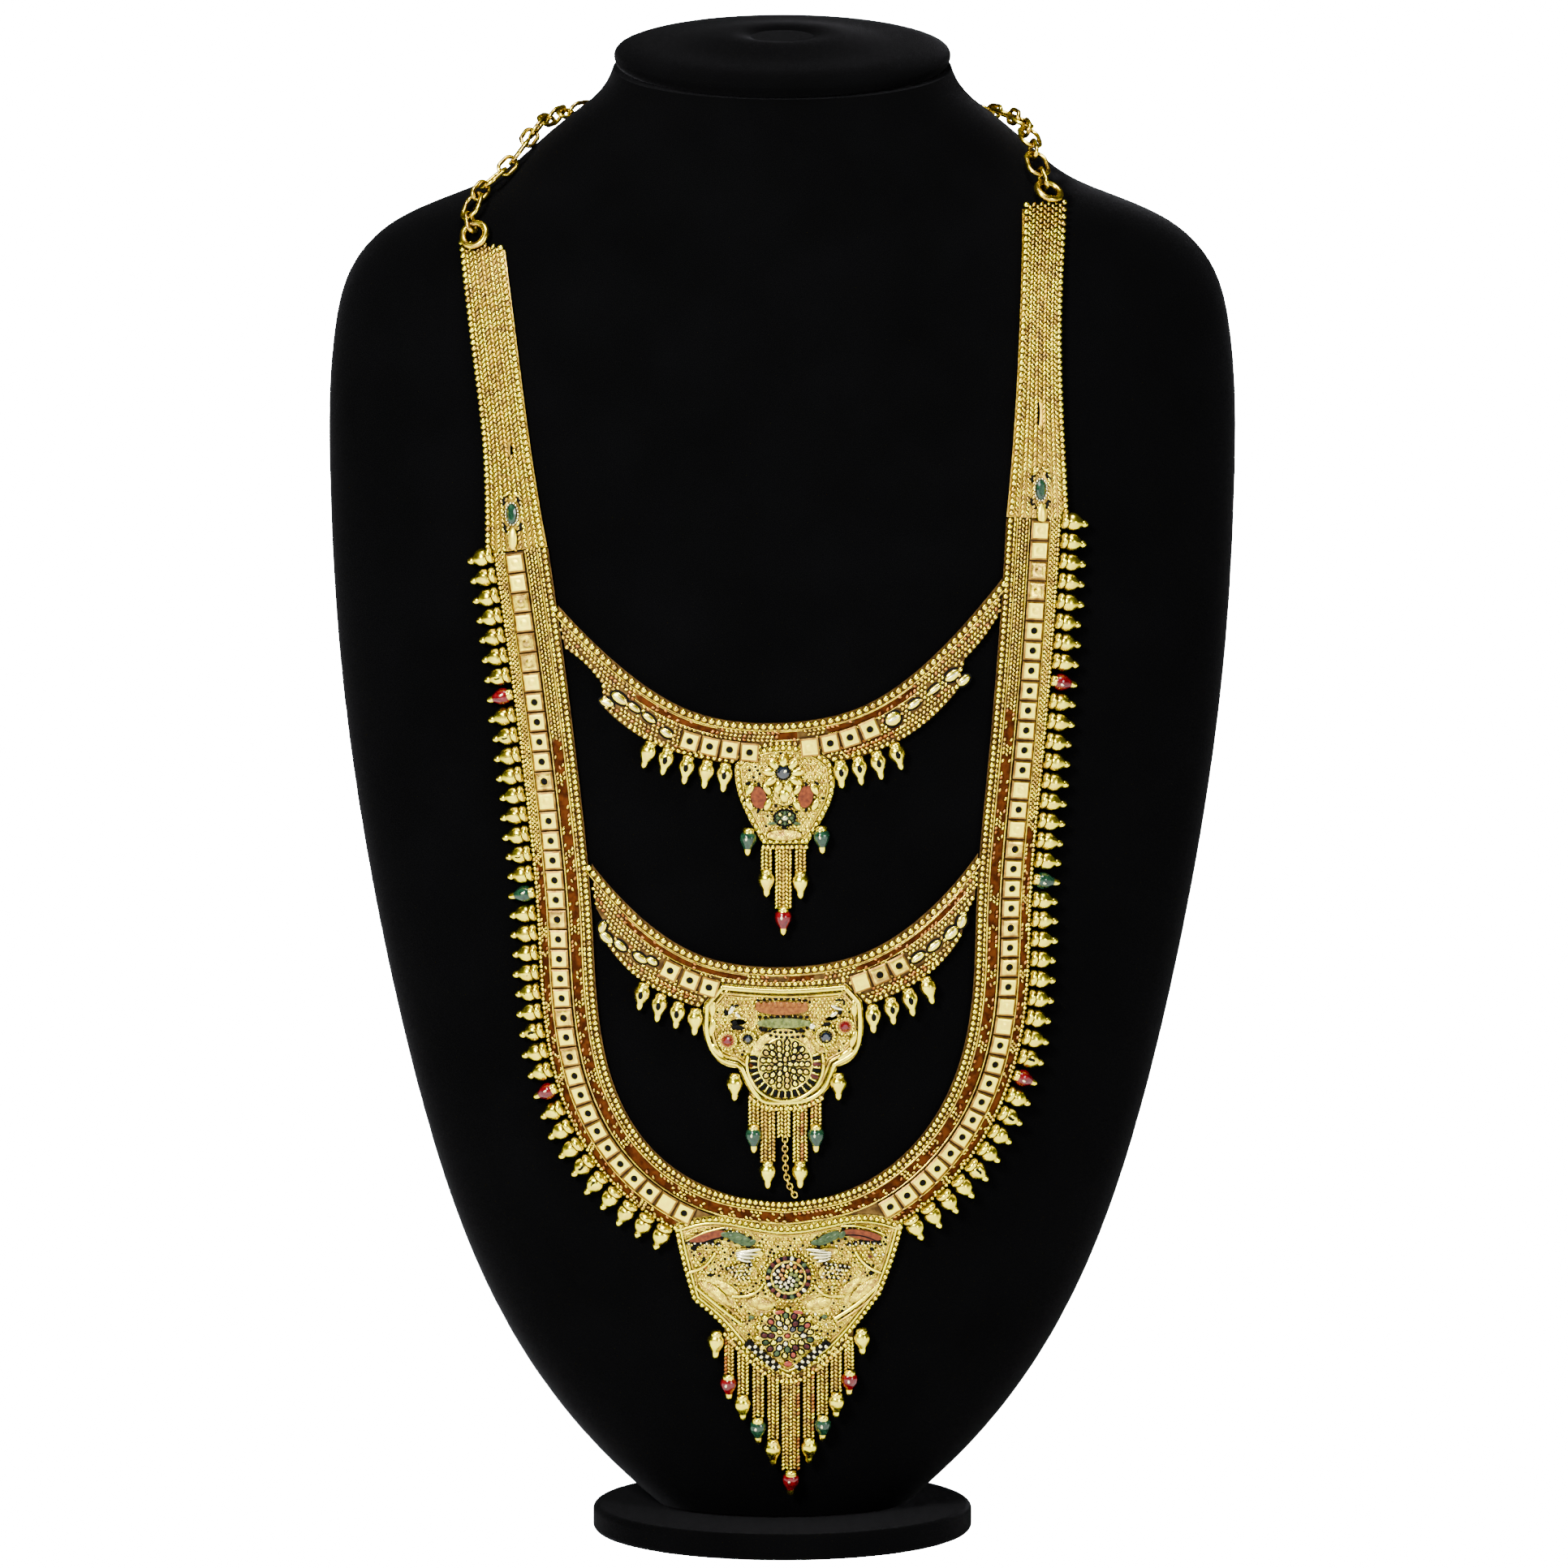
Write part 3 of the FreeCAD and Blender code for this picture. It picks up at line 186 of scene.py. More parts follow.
MIDDLE_MARKS = [
    (-14, 171.9, 2.2, 0.9, -8, "pit"), (-15, 173.3, 0.9, 1, 0, "pit"),
    (14, 173.1, 1.6, 0.7, 12, "pit"), (-16, 177.7, 1.7, 0.8, 60, "silver"),
    (-14, 176, 1.3, 0.6, -50, "silver"), (-17.8, 176.8, 0.6, 1.3, 20, "pit"),
    (-15.3, 178.9, 1.6, 0.35, 10, "pit"), (17.2, 178.3, 2, 0.6, -20, "silver"),
    (16.2, 176.2, 1.3, 0.7, 30, "silver"), (17.9, 180.9, 1.4, 0.35, 0, "pit"),
    (19.4, 180, 0.35, 1, 0, "pit"), (18.1, 177, 0.8, 0.9, 0, "pit"),
    (-6.2, 171.2, 1, 0.5, 0, "pit"), (6.1, 170.9, 1, 0.5, -12, "pit"),
    (9.4, 172.4, 1, 1, 0, "silver"), (-9.8, 159.9, 0.9, 0.7, -60, "recess"),
    (-4.9, 166.8, 0.9, 0.4, 20, "pit"), (5.5, 165.5, 0.9, 0.9, 45, "pit"),
]
LOWER_MARKS = [
    (-27.7, 100, 0.7, 0.9, -30, "pit"), (-26.1, 98.4, 0.7, 0.5, 0, "maroon"),
    (-24.8, 96.4, 0.6, 0.7, 0, "pit"), (-24.3, 94, 0.6, 0.7, 0, "copper"),
    (-22.5, 91.4, 1.3, 0.5, 10, "pit"), (28.2, 99.8, 0.8, 0.6, -30, "pit"),
    (27.6, 97.4, 0.7, 0.5, 0, "maroon"), (26.6, 94.6, 0.6, 0.7, 0, "pit"),
    (27.9, 91.9, 0.8, 0.7, 0, "pit"), (-9.8, 77.6, 0.9, 0.7, 0, "green"),
    (13.3, 77.8, 0.9, 0.7, 0, "green"),
]
TIE_ROUTE = [(0.8, 136), (0.9, 129), (1.9, 121.6), (4.4, 116.8)]
TIE_HEIGHT = 1.4
LINK_STRETCH = (1.25, 1, 1)
# Some of the drops below this height show a dark slot
PIERCED_BELOW = 286.0

TILE_PITCH = 6.35
TILES_A_SIDE = 37
# From the middle of the tiles to the inner and the outer edge of the band
BAND_INNER = 10.2
BAND_OUTER = 6.8
# Heights above the velvet: face of the plates, their relief, underside of the tiles
PLATE = 1.8
RELIEF = 2.8
TILE_SEAT = 2.13
# A pit's dark disc above the underside of its tile
PIT_RISE = 0.79
# Between the points of a curve
SPACING = 0.25
WIRE_SIDES = 6
MOSTLY_PALE = {"pale": 0.7, "gold": 0.3}
# Reach of the painted shade in the crevices between grains
CREVICE = 1.2
# Strength of the white that the camera sees round the bust
WHITE = 24.0
# Width of the photo, 1932 pixels of 0.26 millimetres
PHOTO_WIDTH = 1932 * 0.26


# The bust's front as a height field

def front_field():
    """Depth of the bust's front over a grid of x and z, in millimetres."""
    tree = BVHTree.FromObject(nodes["bust_body"], bpy.context.evaluated_depsgraph_get())
    xs, zs = np.arange(-126.0, 126.1, 1.5), np.arange(14.0, 462.1, 1.5)
    depth = np.full((len(zs), len(xs)), np.nan)
    for row, z in enumerate(zs):
        for column, x in enumerate(xs):
            hit = tree.ray_cast(Vector((x * MM, -0.5, z * MM)), Vector((0, 1, 0)))[0]
            if hit is not None:
                depth[row, column] = hit.y / MM
    # averages out the facets of the frame's mesh
    for _ in range(2):
        padded = np.pad(depth, 1, mode="edge")
        around = (padded[:-2, 1:-1] + padded[2:, 1:-1] + padded[1:-1, :-2] + padded[1:-1, 2:]) / 4
        depth = np.where(np.isnan(around), depth, (depth + around) / 2)
    return xs, zs, depth


GRID_X, GRID_Z, GRID_Y = front_field()


def depth_at(x, z):
    """Depth of the velvet at x, z."""
    step = GRID_X[1] - GRID_X[0]
    across = np.clip((x - GRID_X[0]) / step, 0, len(GRID_X) - 1.001)
    upward = np.clip((z - GRID_Z[0]) / step, 0, len(GRID_Z) - 1.001)
    i, j = across.astype(int), upward.astype(int)
    s, t = across - i, upward - j
    low = GRID_Y[j, i] * (1 - s) + GRID_Y[j, i + 1] * s
    high = GRID_Y[j + 1, i] * (1 - s) + GRID_Y[j + 1, i + 1] * s
    return low * (1 - t) + high * t


def skin_frame(flat, angle=0.0):
    """Points on the velvet at x, z pairs with a tangent at an angle, the side and the normal."""
    x, z = flat[:, 0], flat[:, 1]
    reach = 2.0
    slope_x = (depth_at(x + reach, z) - depth_at(x - reach, z)) / (2 * reach)
    slope_z = (depth_at(x, z + reach) - depth_at(x, z - reach)) / (2 * reach)
    normal = np.stack([slope_x, -np.ones_like(x), slope_z], 1)
    normal /= np.linalg.norm(normal, axis=1)[:, None]
    cosine, sine = np.cos(angle) * np.ones_like(x), np.sin(angle) * np.ones_like(x)
    tangent = np.stack([cosine, slope_x * cosine + slope_z * sine, sine], 1)
    tangent /= np.linalg.norm(tangent, axis=1)[:, None]
    side = np.cross(normal, tangent)
    point = np.stack([x, depth_at(x, z), z], 1)
    return point, tangent, side, normal


# Flat curves

def lengths(line):
    """Distance along a line at each of its points."""
    return np.r_[0, np.cumsum(np.linalg.norm(np.diff(line, axis=0), axis=1))]


def curve(points, spacing=SPACING):
    """A smooth curve through x, z points, sampled evenly; two points give a straight run."""
    points = np.array(points, float)
    if len(points) == 2:
        count = max(2, int(np.linalg.norm(points[1] - points[0]) / spacing) + 1)
        return points[0] + (points[1] - points[0]) * np.linspace(0, 1, count)[:, None]
    chord = lengths(points)
    gap = np.diff(chord)
    size = len(points)
    matrix, right = np.zeros((size, size)), np.zeros((size, 2))
    matrix[0, 0] = matrix[-1, -1] = 1
    for k in range(1, size - 1):
        matrix[k, k - 1:k + 2] = gap[k - 1], 2 * (gap[k - 1] + gap[k]), gap[k]
        right[k] = 6 * ((points[k + 1] - points[k]) / gap[k] - (points[k] - points[k - 1]) / gap[k - 1])
    bend = np.linalg.solve(matrix, right)
    where = np.linspace(0, chord[-1], max(8, int(chord[-1] / 0.1)))
    span = np.clip(np.searchsorted(chord, where) - 1, 0, size - 2)
    wide = gap[span][:, None]
    a = ((chord[span + 1] - where) / gap[span])[:, None]
    b = 1 - a
    line = (a * points[span] + b * points[span + 1]
            + ((a ** 3 - a) * bend[span] + (b ** 3 - b) * bend[span + 1]) * wide ** 2 / 6)
    return resampled(line, spacing)


def resampled(line, spacing):
    """The line with evenly spaced points."""
    along = lengths(line)
    count = max(2, int(round(along[-1] / spacing)) + 1)
    where = np.linspace(0, along[-1], count)
    return np.stack([np.interp(where, along, line[:, k]) for k in range(2)], 1)


def headings(line):
    """Direction of a line at each of its points, as angles."""
    step = np.gradient(line, axis=0)
    return np.arctan2(step[:, 1], step[:, 0])


def beside(line, distance):
    """The line moved to its right by a distance, or by one distance for each point."""
    angle = headings(line)
    return line + np.stack([np.sin(angle), -np.cos(angle)], 1) * np.reshape(distance, (-1, 1))


def spaced(line, pitch, start=0.0):
    """Places along a line at a pitch, with the heading there."""
    along = lengths(line)
    where = np.arange(start, along[-1], pitch)
    angle = np.unwrap(headings(line))
    flat = np.stack([np.interp(where, along, line[:, k]) for k in range(2)], 1)
    return flat, np.interp(where, along, angle)


def outline(stretches, spacing=0.4):
    """A closed outline from stretches that meet at their ends."""
    return np.concatenate([curve(stretch, spacing)[:-1] for stretch in stretches])


def inside(flat, polygon):
    """Which points lie inside a closed outline."""
    x, z = flat[:, 0][:, None], flat[:, 1][:, None]
    x1, z1 = polygon[:, 0], polygon[:, 1]
    x2, z2 = np.roll(x1, -1), np.roll(z1, -1)
    crosses = (z1 > z) != (z2 > z)
    with np.errstate(divide="ignore", invalid="ignore"):
        at = x1 + (z - z1) / np.where(z2 == z1, 1e-9, z2 - z1) * (x2 - x1)
    return (np.sum(crosses & (x < at), axis=1) % 2) == 1


def away(flat, polygon):
    """Distance of points from an outline's points."""
    return np.min(np.linalg.norm(flat[:, None] - polygon[None], axis=2), axis=1)


def oval(flat, x, z, wide, high):
    """How far points lie from an oval's centre, where 1 is on the oval."""
    return np.hypot((flat[:, 0] - x) / wide, (flat[:, 1] - z) / high)


def polar(centre, wide, high, degrees):
    """The place at an angle on an oval."""
    turn = math.radians(degrees)
    return centre[0] + wide * math.cos(turn), centre[1] + high * math.sin(turn)


def arc(centre, wide, high, count, start=0.0, end=360.0):
    """A line along an oval, between two angles in degrees."""
    turns = np.radians(np.linspace(start, end, count))
    return np.column_stack([centre[0] + wide * np.cos(turns), centre[1] + high * np.sin(turns)])


# Small shapes, in millimetres: x along, y across, z up from the velvet

def corners(sides):
    """Angles of a ring's corners."""
    return np.arange(sides) / sides * 2 * np.pi


def walls(pairs, sides, turned=False):
    """Quads between pairs of rings, each a run of points; turned makes them face the other way."""
    faces = []
    for low, high in pairs:
        for k in range(sides):
            after = (k + 1) % sides
            a, b = low * sides + k, high * sides + k
            c, d = high * sides + after, low * sides + after
            faces.append((a, d, c, b) if turned else (a, b, c, d))
    return faces


def steps(count):
    """Each ring with the next."""
    return [(k, k + 1) for k in range(count - 1)]


def ball(rings, sides):
    """A bead of radius 1 with small open ends on the x axis."""
    turns = corners(sides)
    points = [(-math.cos(a), math.sin(a) * math.cos(t), math.sin(a) * math.sin(t))
              for a in np.linspace(0.12, np.pi - 0.12, rings + 1) for t in turns]
    return np.array(points), walls(steps(rings + 1), sides)


BEAD = ball(6, 10)
GRAIN = ball(4, 7)


def rounds(levels, closed=True, count=16):
    """Rings of a shape that goes from square to round: half width, height, roundness each."""
    turns = corners(count)
    circle = np.stack([np.cos(turns), np.sin(turns)], 1)
    square = circle / np.abs(circle).max(1)[:, None]
    points = []
    for half, height, roundness in levels:
        ring = half * ((1 - roundness) * square + roundness * circle)
        points.append(np.column_stack([ring, np.full(count, height)]))
    faces = walls(steps(len(levels)), count, turned=True)
    last = count * (len(levels) - 1)
    if closed:
        faces += [(last, last + k, last + k + 1, last + k + 2) for k in range(1, count - 1, 2)]
    return np.concatenate(points), faces


def tile_foot():
    """The sloping border of a square tile."""
    return rounds([(2.9, 0.0, 0.0), (2.9, 0.72, 0.0), (2.4, 1.0, 0.0)], closed=False)


def tile_cap(pit=True):
    """The square top of a tile, with a round pit in its middle or plain."""
    levels = [(2.4, 0.9, 0.0), (2.35, 1.06, 0.0), (1.8, 1.16, 0.3), (1.2, 1.1, 1.0)]
    levels += [(1.0, 0.76, 1.0)] if pit else [(0.4, 1.24, 1.0)]
    return rounds(levels)


# A bud drop from its head to the end of its post: x, radius, depth of the flutes, part
BUD_PROFILE = [
    (-0.8, 1.4, 0.0, "cap"), (-0.5, 2.4, 0.0, "cap"), (0.1, 2.75, 0.0, "cap"), (0.8, 2.6, 0.0, "cap"),
    (1.1, 2.2, 0.0, "groove"), (1.4, 2.3, 0.05, "body"), (1.9, 2.8, 0.1, "body"),
    (3.1, 2.98, 0.12, "body"), (4.3, 2.65, 0.12, "body"), (5.2, 2.0, 0.1, "body"),
    (5.9, 1.35, 0.05, "body"), (6.3, 1.05, 0.0, "tip"), (6.7, 1.2, 0.0, "tip"), (7.3, 1.1, 0.0, "tip"),
    (7.9, 0.8, 0.0, "tip"), (8.3, 0.3, 0.0, "tip"),
]
# A smoother bud, for the festoons and fringes
TEAR_PROFILE = [
    (-0.9, 0.8, 0.0, "cap"), (-0.6, 1.6, 0.0, "cap"), (0.0, 1.9, 0.0, "cap"), (0.4, 1.75, 0.0, "cap"),
    (0.7, 1.9, 0.0, "body"), (1.4, 2.45, 0.05, "body"), (2.3, 2.7, 0.1, "body"),
    (3.3, 2.6, 0.12, "body"), (4.3, 2.15, 0.1, "body"), (5.2, 1.6, 0.06, "body"),
    (6.0, 1.15, 0.0, "tip"), (6.6, 1.1, 0.0, "tip"), (7.3, 1.0, 0.0, "tip"), (7.9, 0.7, 0.0, "tip"),
    (8.3, 0.2, 0.0, "tip"),
]


def bud(profile, parts, flutes=7):
    """Some parts of a bud drop that hangs along x."""
    turns = corners(flutes * 3)
    points = []
    for x, radius, flute, _ in profile:
        wave = radius * (1 - flute * (1 + np.cos(flutes * turns)) / 2)
        points.append(np.stack([np.full(len(turns), x), wave * np.cos(turns), wave * np.sin(turns)], 1))
    pairs = [(low, high) for low, high in steps(len(profile)) if profile[low][3] in parts]
    return np.concatenate(points), walls(pairs, len(turns))


def ring_shape(radius, wire, sides=12, around=6):
    """A ring in its x, y plane."""
    points = [((radius + wire * math.cos(roll)) * math.cos(turn),
               (radius + wire * math.cos(roll)) * math.sin(turn), wire * math.sin(roll))
              for turn in corners(sides) for roll in corners(around)]
    return np.array(points), walls(steps(sides) + [(sides - 1, 0)], around)


def mixed_names(count, shares):
    """A seeded mix of material names, by their shares."""
    return rng.choice(list(shares), size=count, p=list(shares.values()))


class Work:
    """Gathers many small shapes into one mesh, each with a material and smooth or flat faces."""

    def __init__(self, name, slot="gold", replaces=()):
        self.name, self.slot, self.replaced = name, slot, replaces
        self.points, self.faces, self.total = [], [], 0
        self.materials, self.smooth, self.slots = [], [], []

    def add(self, points, faces, material, smooth=True):
        """Takes in points and faces, all of one material or with a name for each face."""
        names = [material] * len(faces) if isinstance(material, str) else material
        for corner_numbers, name in zip(faces, names):
            if name not in self.materials:
                self.materials.append(name)
            self.faces.append([number + self.total for number in corner_numbers])
            self.slots.append(self.materials.index(name))
        self.smooth += [smooth] * len(faces)
        self.points.append(points)
        self.total += len(points)

    def scatter(self, shape, flat, angle, lift, material, scale=1.0, smooth=True, lean=0.0):
        """Copies of a shape at x, z places on the velvet; lean turns each about the normal."""
        flat = np.reshape(flat, (-1, 2))
        count = len(flat)
        if not count:
            return
        template, faces = shape
        point, tangent, side, normal = skin_frame(flat, np.broadcast_to(angle, count) + lean)
        grown = template[None] * np.broadcast_to(scale, (count, 3))[:, None]
        height = grown[..., 2:] + np.broadcast_to(lift, count)[:, None, None]
        placed = (point[:, None] + grown[..., :1] * tangent[:, None] + grown[..., 1:2] * side[:, None]
                  + height * normal[:, None])
        every = np.array(faces)[None] + (np.arange(count) * len(template))[:, None, None]
        names = np.repeat(np.broadcast_to(material, count), len(faces))
        self.add(placed.reshape(-1, 3), every.reshape(len(names), -1).tolist(), names, smooth)

    def row(self, shape, places, lift, shares, scale=1.0, lean=0.0):
        """Copies of a shape at places with headings, in one material or a mix of them."""
        flat, angle = places
        names = mixed_names(len(flat), shares) if isinstance(shares, dict) else shares
        self.scatter(shape, flat, angle, lift, names, scale, lean=lean)

    def spot(self, x, z, long, wide, turn, material, lift, thick=0.3):
        """A small smooth oval: half length, half width and turn in degrees."""
        self.scatter(BEAD, (x, z), math.radians(turn), lift, material, (long, wide, thick))

    def ring(self, x, z, wide, high, pitch, lift, size, material):
        """An oval ring of small grains."""
        line = arc((x, z), wide, high, 60)
        length = 1e-6 + lengths(line)[-1]
        self.row(GRAIN, spaced(line, length / max(3, round(length / pitch))), lift, material, size)

    def wire(self, line, radius, lift, material, flatten=1.0):
        """A round wire laid on the velvet along a flat line."""
        point, _, side, normal = skin_frame(line, headings(line))
        rings = [point + normal * (lift + radius * flatten * math.sin(a)) + side * radius * math.cos(a)
                 for a in corners(WIRE_SIDES)]
        faces = walls(steps(len(line)), WIRE_SIDES, turned=True)
        first = (len(line) - 1) * WIRE_SIDES
        faces += [tuple(range(WIRE_SIDES))[::-1], tuple(range(first, first + WIRE_SIDES))]
        self.add(np.stack(rings, 1).reshape(-1, 3), faces, material)

    def ribbon(self, line, width, lift, material):
        """A flat strip laid on the velvet along a flat line, narrow at its ends."""
        point, _, side, normal = skin_frame(line, headings(line))
        taper = np.minimum(1, np.minimum(np.arange(len(line)), np.arange(len(line))[::-1]) / 8 + 0.2)
        half = (width / 2 * taper)[:, None]
        base = point + normal * lift
        points = np.stack([base - side * half, base + side * half], 1).reshape(-1, 3)
        faces = [(2 * k, 2 * k + 1, 2 * k + 3, 2 * k + 2) for k in range(len(line) - 1)]
        self.add(points, faces, material)

    def finish(self):
        """The gathered shapes as one piece of the scene."""
        mesh = bpy.data.meshes.new(self.name)
        mesh.from_pydata((np.concatenate(self.points) * MM).tolist(), [], self.faces)
        for material in self.materials:
            mesh.materials.append(MATERIALS[material])
        mesh.polygons.foreach_set("material_index", self.slots)
        mesh.polygons.foreach_set("use_smooth", self.smooth)
        mesh.update()
        piece = bpy.data.objects.new(self.name, mesh)
        bpy.context.scene.collection.objects.link(piece)
        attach(piece, "root")
        if self.replaced:
            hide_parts(*self.replaced)
        print(self.name, len(mesh.polygons), "faces")


# Materials

class Paint:
    """A material, or the world, in the making."""

    def __init__(self, owner):
        owner.use_nodes = True
        owner.node_tree.nodes.clear()
        self.owner, self.nodes, self.link = owner, owner.node_tree.nodes, owner.node_tree.links.new

    def node(self, kind, **constants):
        """A node with constants on its inputs; their names have _ for a space."""
        made = self.nodes.new(f"ShaderNode{kind}")
        for name, value in constants.items():
            made.inputs[name.replace("_", " ")].default_value = value
        return made

    def surface(self, kind="BsdfPrincipled", output="OutputMaterial", **constants):
        """The surface node, joined to the output."""
        made = self.node(kind, **constants)
        self.link(made.outputs[0], self.node(output).inputs["Surface"])
        return made

    def noise(self, scale, detail):
        """The strength of a noise over the object's own coordinates."""
        made = self.node("TexNoise", Scale=scale, Detail=detail)
        self.link(self.node("TexCoord").outputs["Object"], made.inputs["Vector"])
        return made.outputs["Fac"]

    def ramp(self, source, low, dark, high, light):
        """A colour from dark to light as the source goes from low to high."""
        made = self.node("ValToRGB")
        for element, place, colour in zip(made.color_ramp.elements, (low, high), (dark, light)):
            element.position = place
            element.color = (*colour, 1)
        self.link(source, made.inputs["Fac"])
        return made.outputs["Color"]

    def bumps(self, source, strength, depth, surface):
        """Bumps of some depth in millimetres on a surface."""
        made = self.node("Bump", Strength=strength, Distance=depth * MM)
        self.link(source, made.inputs["Height"])
        self.link(made.outputs["Normal"], surface.inputs["Normal"])


def metal(name, colour, shade, rough=0.3, grain=700.0, bump=0.25, depth=0.2, crevice_shade=(0.026, 0.013, 0.006)):
    """Plated metal: two tones in patches, a grain of some depth in millimetres, and painted shade in its
    crevices.
    """
    paint = Paint(bpy.data.materials.new(name))
    surface = paint.surface(Metallic=1.0, Specular_Tint=(*colour, 1))
    tone = paint.ramp(paint.noise(grain * 0.6, 3.0), 0.38, shade, 0.62, colour)
    # painted shade: ambient occlusion darkens the colour in crevices towards a dark brown
    crevice = paint.node("AmbientOcclusion", Distance=CREVICE * MM)
    crevice.samples = 4
    mixed = paint.node("Mix")
    mixed.data_type = "RGBA"
    mixed.inputs["A"].default_value = (*crevice_shade, 1)
    paint.link(paint.ramp(crevice.outputs["AO"], 0.4, (0, 0, 0), 0.94, (1, 1, 1)), mixed.inputs["Factor"])
    paint.link(tone, mixed.inputs["B"])
    paint.link(mixed.outputs["Result"], surface.inputs["Base Color"])
    fine = paint.noise(grain, 4.0)
    paint.bumps(fine, bump, depth, surface)
    spread = paint.node("MapRange", To_Min=rough - 0.08, To_Max=rough + 0.15)
    paint.link(fine, spread.inputs["Value"])
    paint.link(spread.outputs["Result"], surface.inputs["Roughness"])
    return paint.owner


def enamel(name, colour, shade, rough=0.4, coat=0.0, shine=0.15):
    """Glassy enamel or paste with a cloudy depth."""
    paint = Paint(bpy.data.materials.new(name))
    surface = paint.surface(Roughness=rough, Coat_Weight=coat, Specular_IOR_Level=shine,
                            Coat_Roughness=0.06, IOR=1.55)
    tone = paint.ramp(paint.noise(900.0, 3.0), 0.35, shade, 0.65, colour)
    paint.link(tone, surface.inputs["Base Color"])
    return paint.owner


def velvet(name):
    """Black velvet: almost no light back from the front, a faint grey sheen at grazing angles."""
    paint = Paint(bpy.data.materials.new(name))
    surface = paint.surface(Roughness=0.95, Specular_IOR_Level=0.02, Sheen_Weight=0.035,
                            Sheen_Roughness=0.3, Sheen_Tint=(0.6, 0.6, 0.65, 1))
    brushed = paint.ramp(paint.noise(35.0, 2.0), 0, (0.0001, 0.0001, 0.0001), 1, (0.0007, 0.0007, 0.0008))
    paint.link(brushed, surface.inputs["Base Color"])
    paint.bumps(paint.noise(2600.0, 5.0), 0.5, 0.3, surface)
    return paint.owner


MATERIALS = {
    "gold": metal("gold", (1, 0.76, 0.02), (0.38, 0.24, 0.04), 0.22),
    "pale": metal("pale_gold", (1, 0.9, 0.04), (0.88, 0.69, 0.04), 0.2),
    "orange": metal("orange_gold", (0.88, 0.58, 0.03), (0.38, 0.23, 0.035), 0.28),
    "face": metal("tile_face", (1, 0.88, 0.04), (0.97, 0.76, 0.04), 0.38),
    # painted shade: the tiles' sloping borders are coloured dark for the shade on their bevels
    "border": metal("tile_border_painted_shade", (0.4, 0.22, 0.03), (0.17, 0.08, 0.016), 0.32),
    "sheet": metal("beaten_gold", (1, 0.82, 0.02), (0.32, 0.2, 0.035), 0.24, 1000, 1, 0.9),
    "copper": metal("pink_copper", (0.58, 0.25, 0.05), (0.26, 0.08, 0.015)),
    "silver": metal("silver", (1, 0.96, 0.58), (0.86, 0.8, 0.42), 0.22, crevice_shade=(0.05, 0.04, 0.02)),
    # painted shade: a dark metal for channels, grooves and small recesses, laid where shade falls
    "recess": metal("recess_painted_shade", (0.075, 0.02, 0.004), (0.028, 0.007, 0.002), 0.45,
                    crevice_shade=(0.008, 0.003, 0.001)),
    # painted shade: the plates under the grains are dark for the shade in the gaps between the grains
    "weave": metal("weave_ground_painted_shade", (0.12, 0.068, 0.018), (0.05, 0.026, 0.008), 0.38),
    "pit": enamel("pit", (0.0009, 0.0008, 0.0006), (0.0006, 0.0005, 0.0005), 0.7, 0, 0.05),
    "maroon": enamel("maroon", (0.06, 0.006, 0.004), (0.02, 0.002, 0.002)),
    "red": enamel("red_enamel", (0.13, 0.026, 0.004), (0.055, 0.01, 0.002)),
    "brick": enamel("brick_enamel", (0.19, 0.065, 0.006), (0.1, 0.026, 0.003)),
    "bright": enamel("bright_red", (0.24, 0.022, 0.002), (0.13, 0.008, 0.001), 0.3, 0.1, 0.3),
    "green": enamel("green_enamel", (0.042, 0.07, 0.024), (0.014, 0.03, 0.01), 0.35),
    "olive": enamel("olive_enamel", (0.14, 0.16, 0.035), (0.05, 0.065, 0.012), 0.35),
    "ruby": enamel("ruby", (0.12, 0.002, 0.004), (0.05, 0, 0.001), 0.12, 0.12, 0.3),
    "emerald": enamel("emerald", (0.008, 0.036, 0.016), (0.002, 0.014, 0.006), 0.12, 0.12, 0.3),
    "blue": enamel("blue", (0.004, 0.009, 0.016), (0.001, 0.001, 0.003), 0.08, 0.3, 0.5),
    "velvet": velvet("black_velvet"),
}

# Finish and slot of the nodes that are carried over
for finish, slot, names in (
        ("velvet", "velvet", "bust_body bust_cap bust_foot"),
        ("weave", "gold", "band_left band_right festoon_upper festoon_lower"),
        ("weave", "gold", "fringe_upper fringe_middle fringe_lower"),
        ("orange", "gold", "strap_left strap_right"),
        ("sheet", "gold", "pendant_upper pendant_middle pendant_lower"),
        ("gold", "gold", "chain_left chain_right eye_ring_left eye_ring_right hook_clasp"),
        ("red", "enamel_red", "enamel_red_upper enamel_red_lower"),
        ("brick", "enamel_red", "enamel_red_middle"),
        ("green", "enamel_green", "enamel_green_upper enamel_green_lower"),
        ("olive", "enamel_green", "enamel_green_middle"),
        ("blue", "blue_stone", "blue_stone ring_stones_blue"),
        ("ruby", "ruby_stone", "ring_stones_red"),
        ("emerald", "emerald_stone", "strap_stone_left strap_stone_right")):
    for name in names.split():
        mesh = nodes[name].data
        mesh.materials.clear()
        mesh.materials.append(MATERIALS[finish])


# The long band and the straps

pendant_edges = {
    "upper": outline(UPPER_PENDANT), "middle": outline(MIDDLE_PENDANT), "lower": outline(LOWER_PENDANT),
}


def clear_of(flat, angle, polygon, gap):
    """Leaves out the places inside an outline or nearer to it than a gap."""
    keep = ~inside(flat, polygon) & (away(flat, polygon) > gap)
    return flat[keep], angle[keep]


def tiles(work, flat, angle, plain):
    """Square tiles over those of the frame, some plain and the rest with a dark pit."""
    tones = mixed_names(len(flat), {"face": 0.8, "gold": 0.2})
    # painted shade: the sloping border of each tile is in the dark border metal
    work.scatter(tile_foot(), flat, angle, TILE_SEAT, "border", smooth=False)
    for pit, picked in ((False, plain), (True, ~plain)):
        work.scatter(tile_cap(pit), flat[picked], angle[picked], TILE_SEAT, tones[picked], smooth=False)
    work.scatter(rounds([(1.05, 0, 1)]), flat[~plain], angle[~plain], TILE_SEAT + PIT_RISE, "pit")


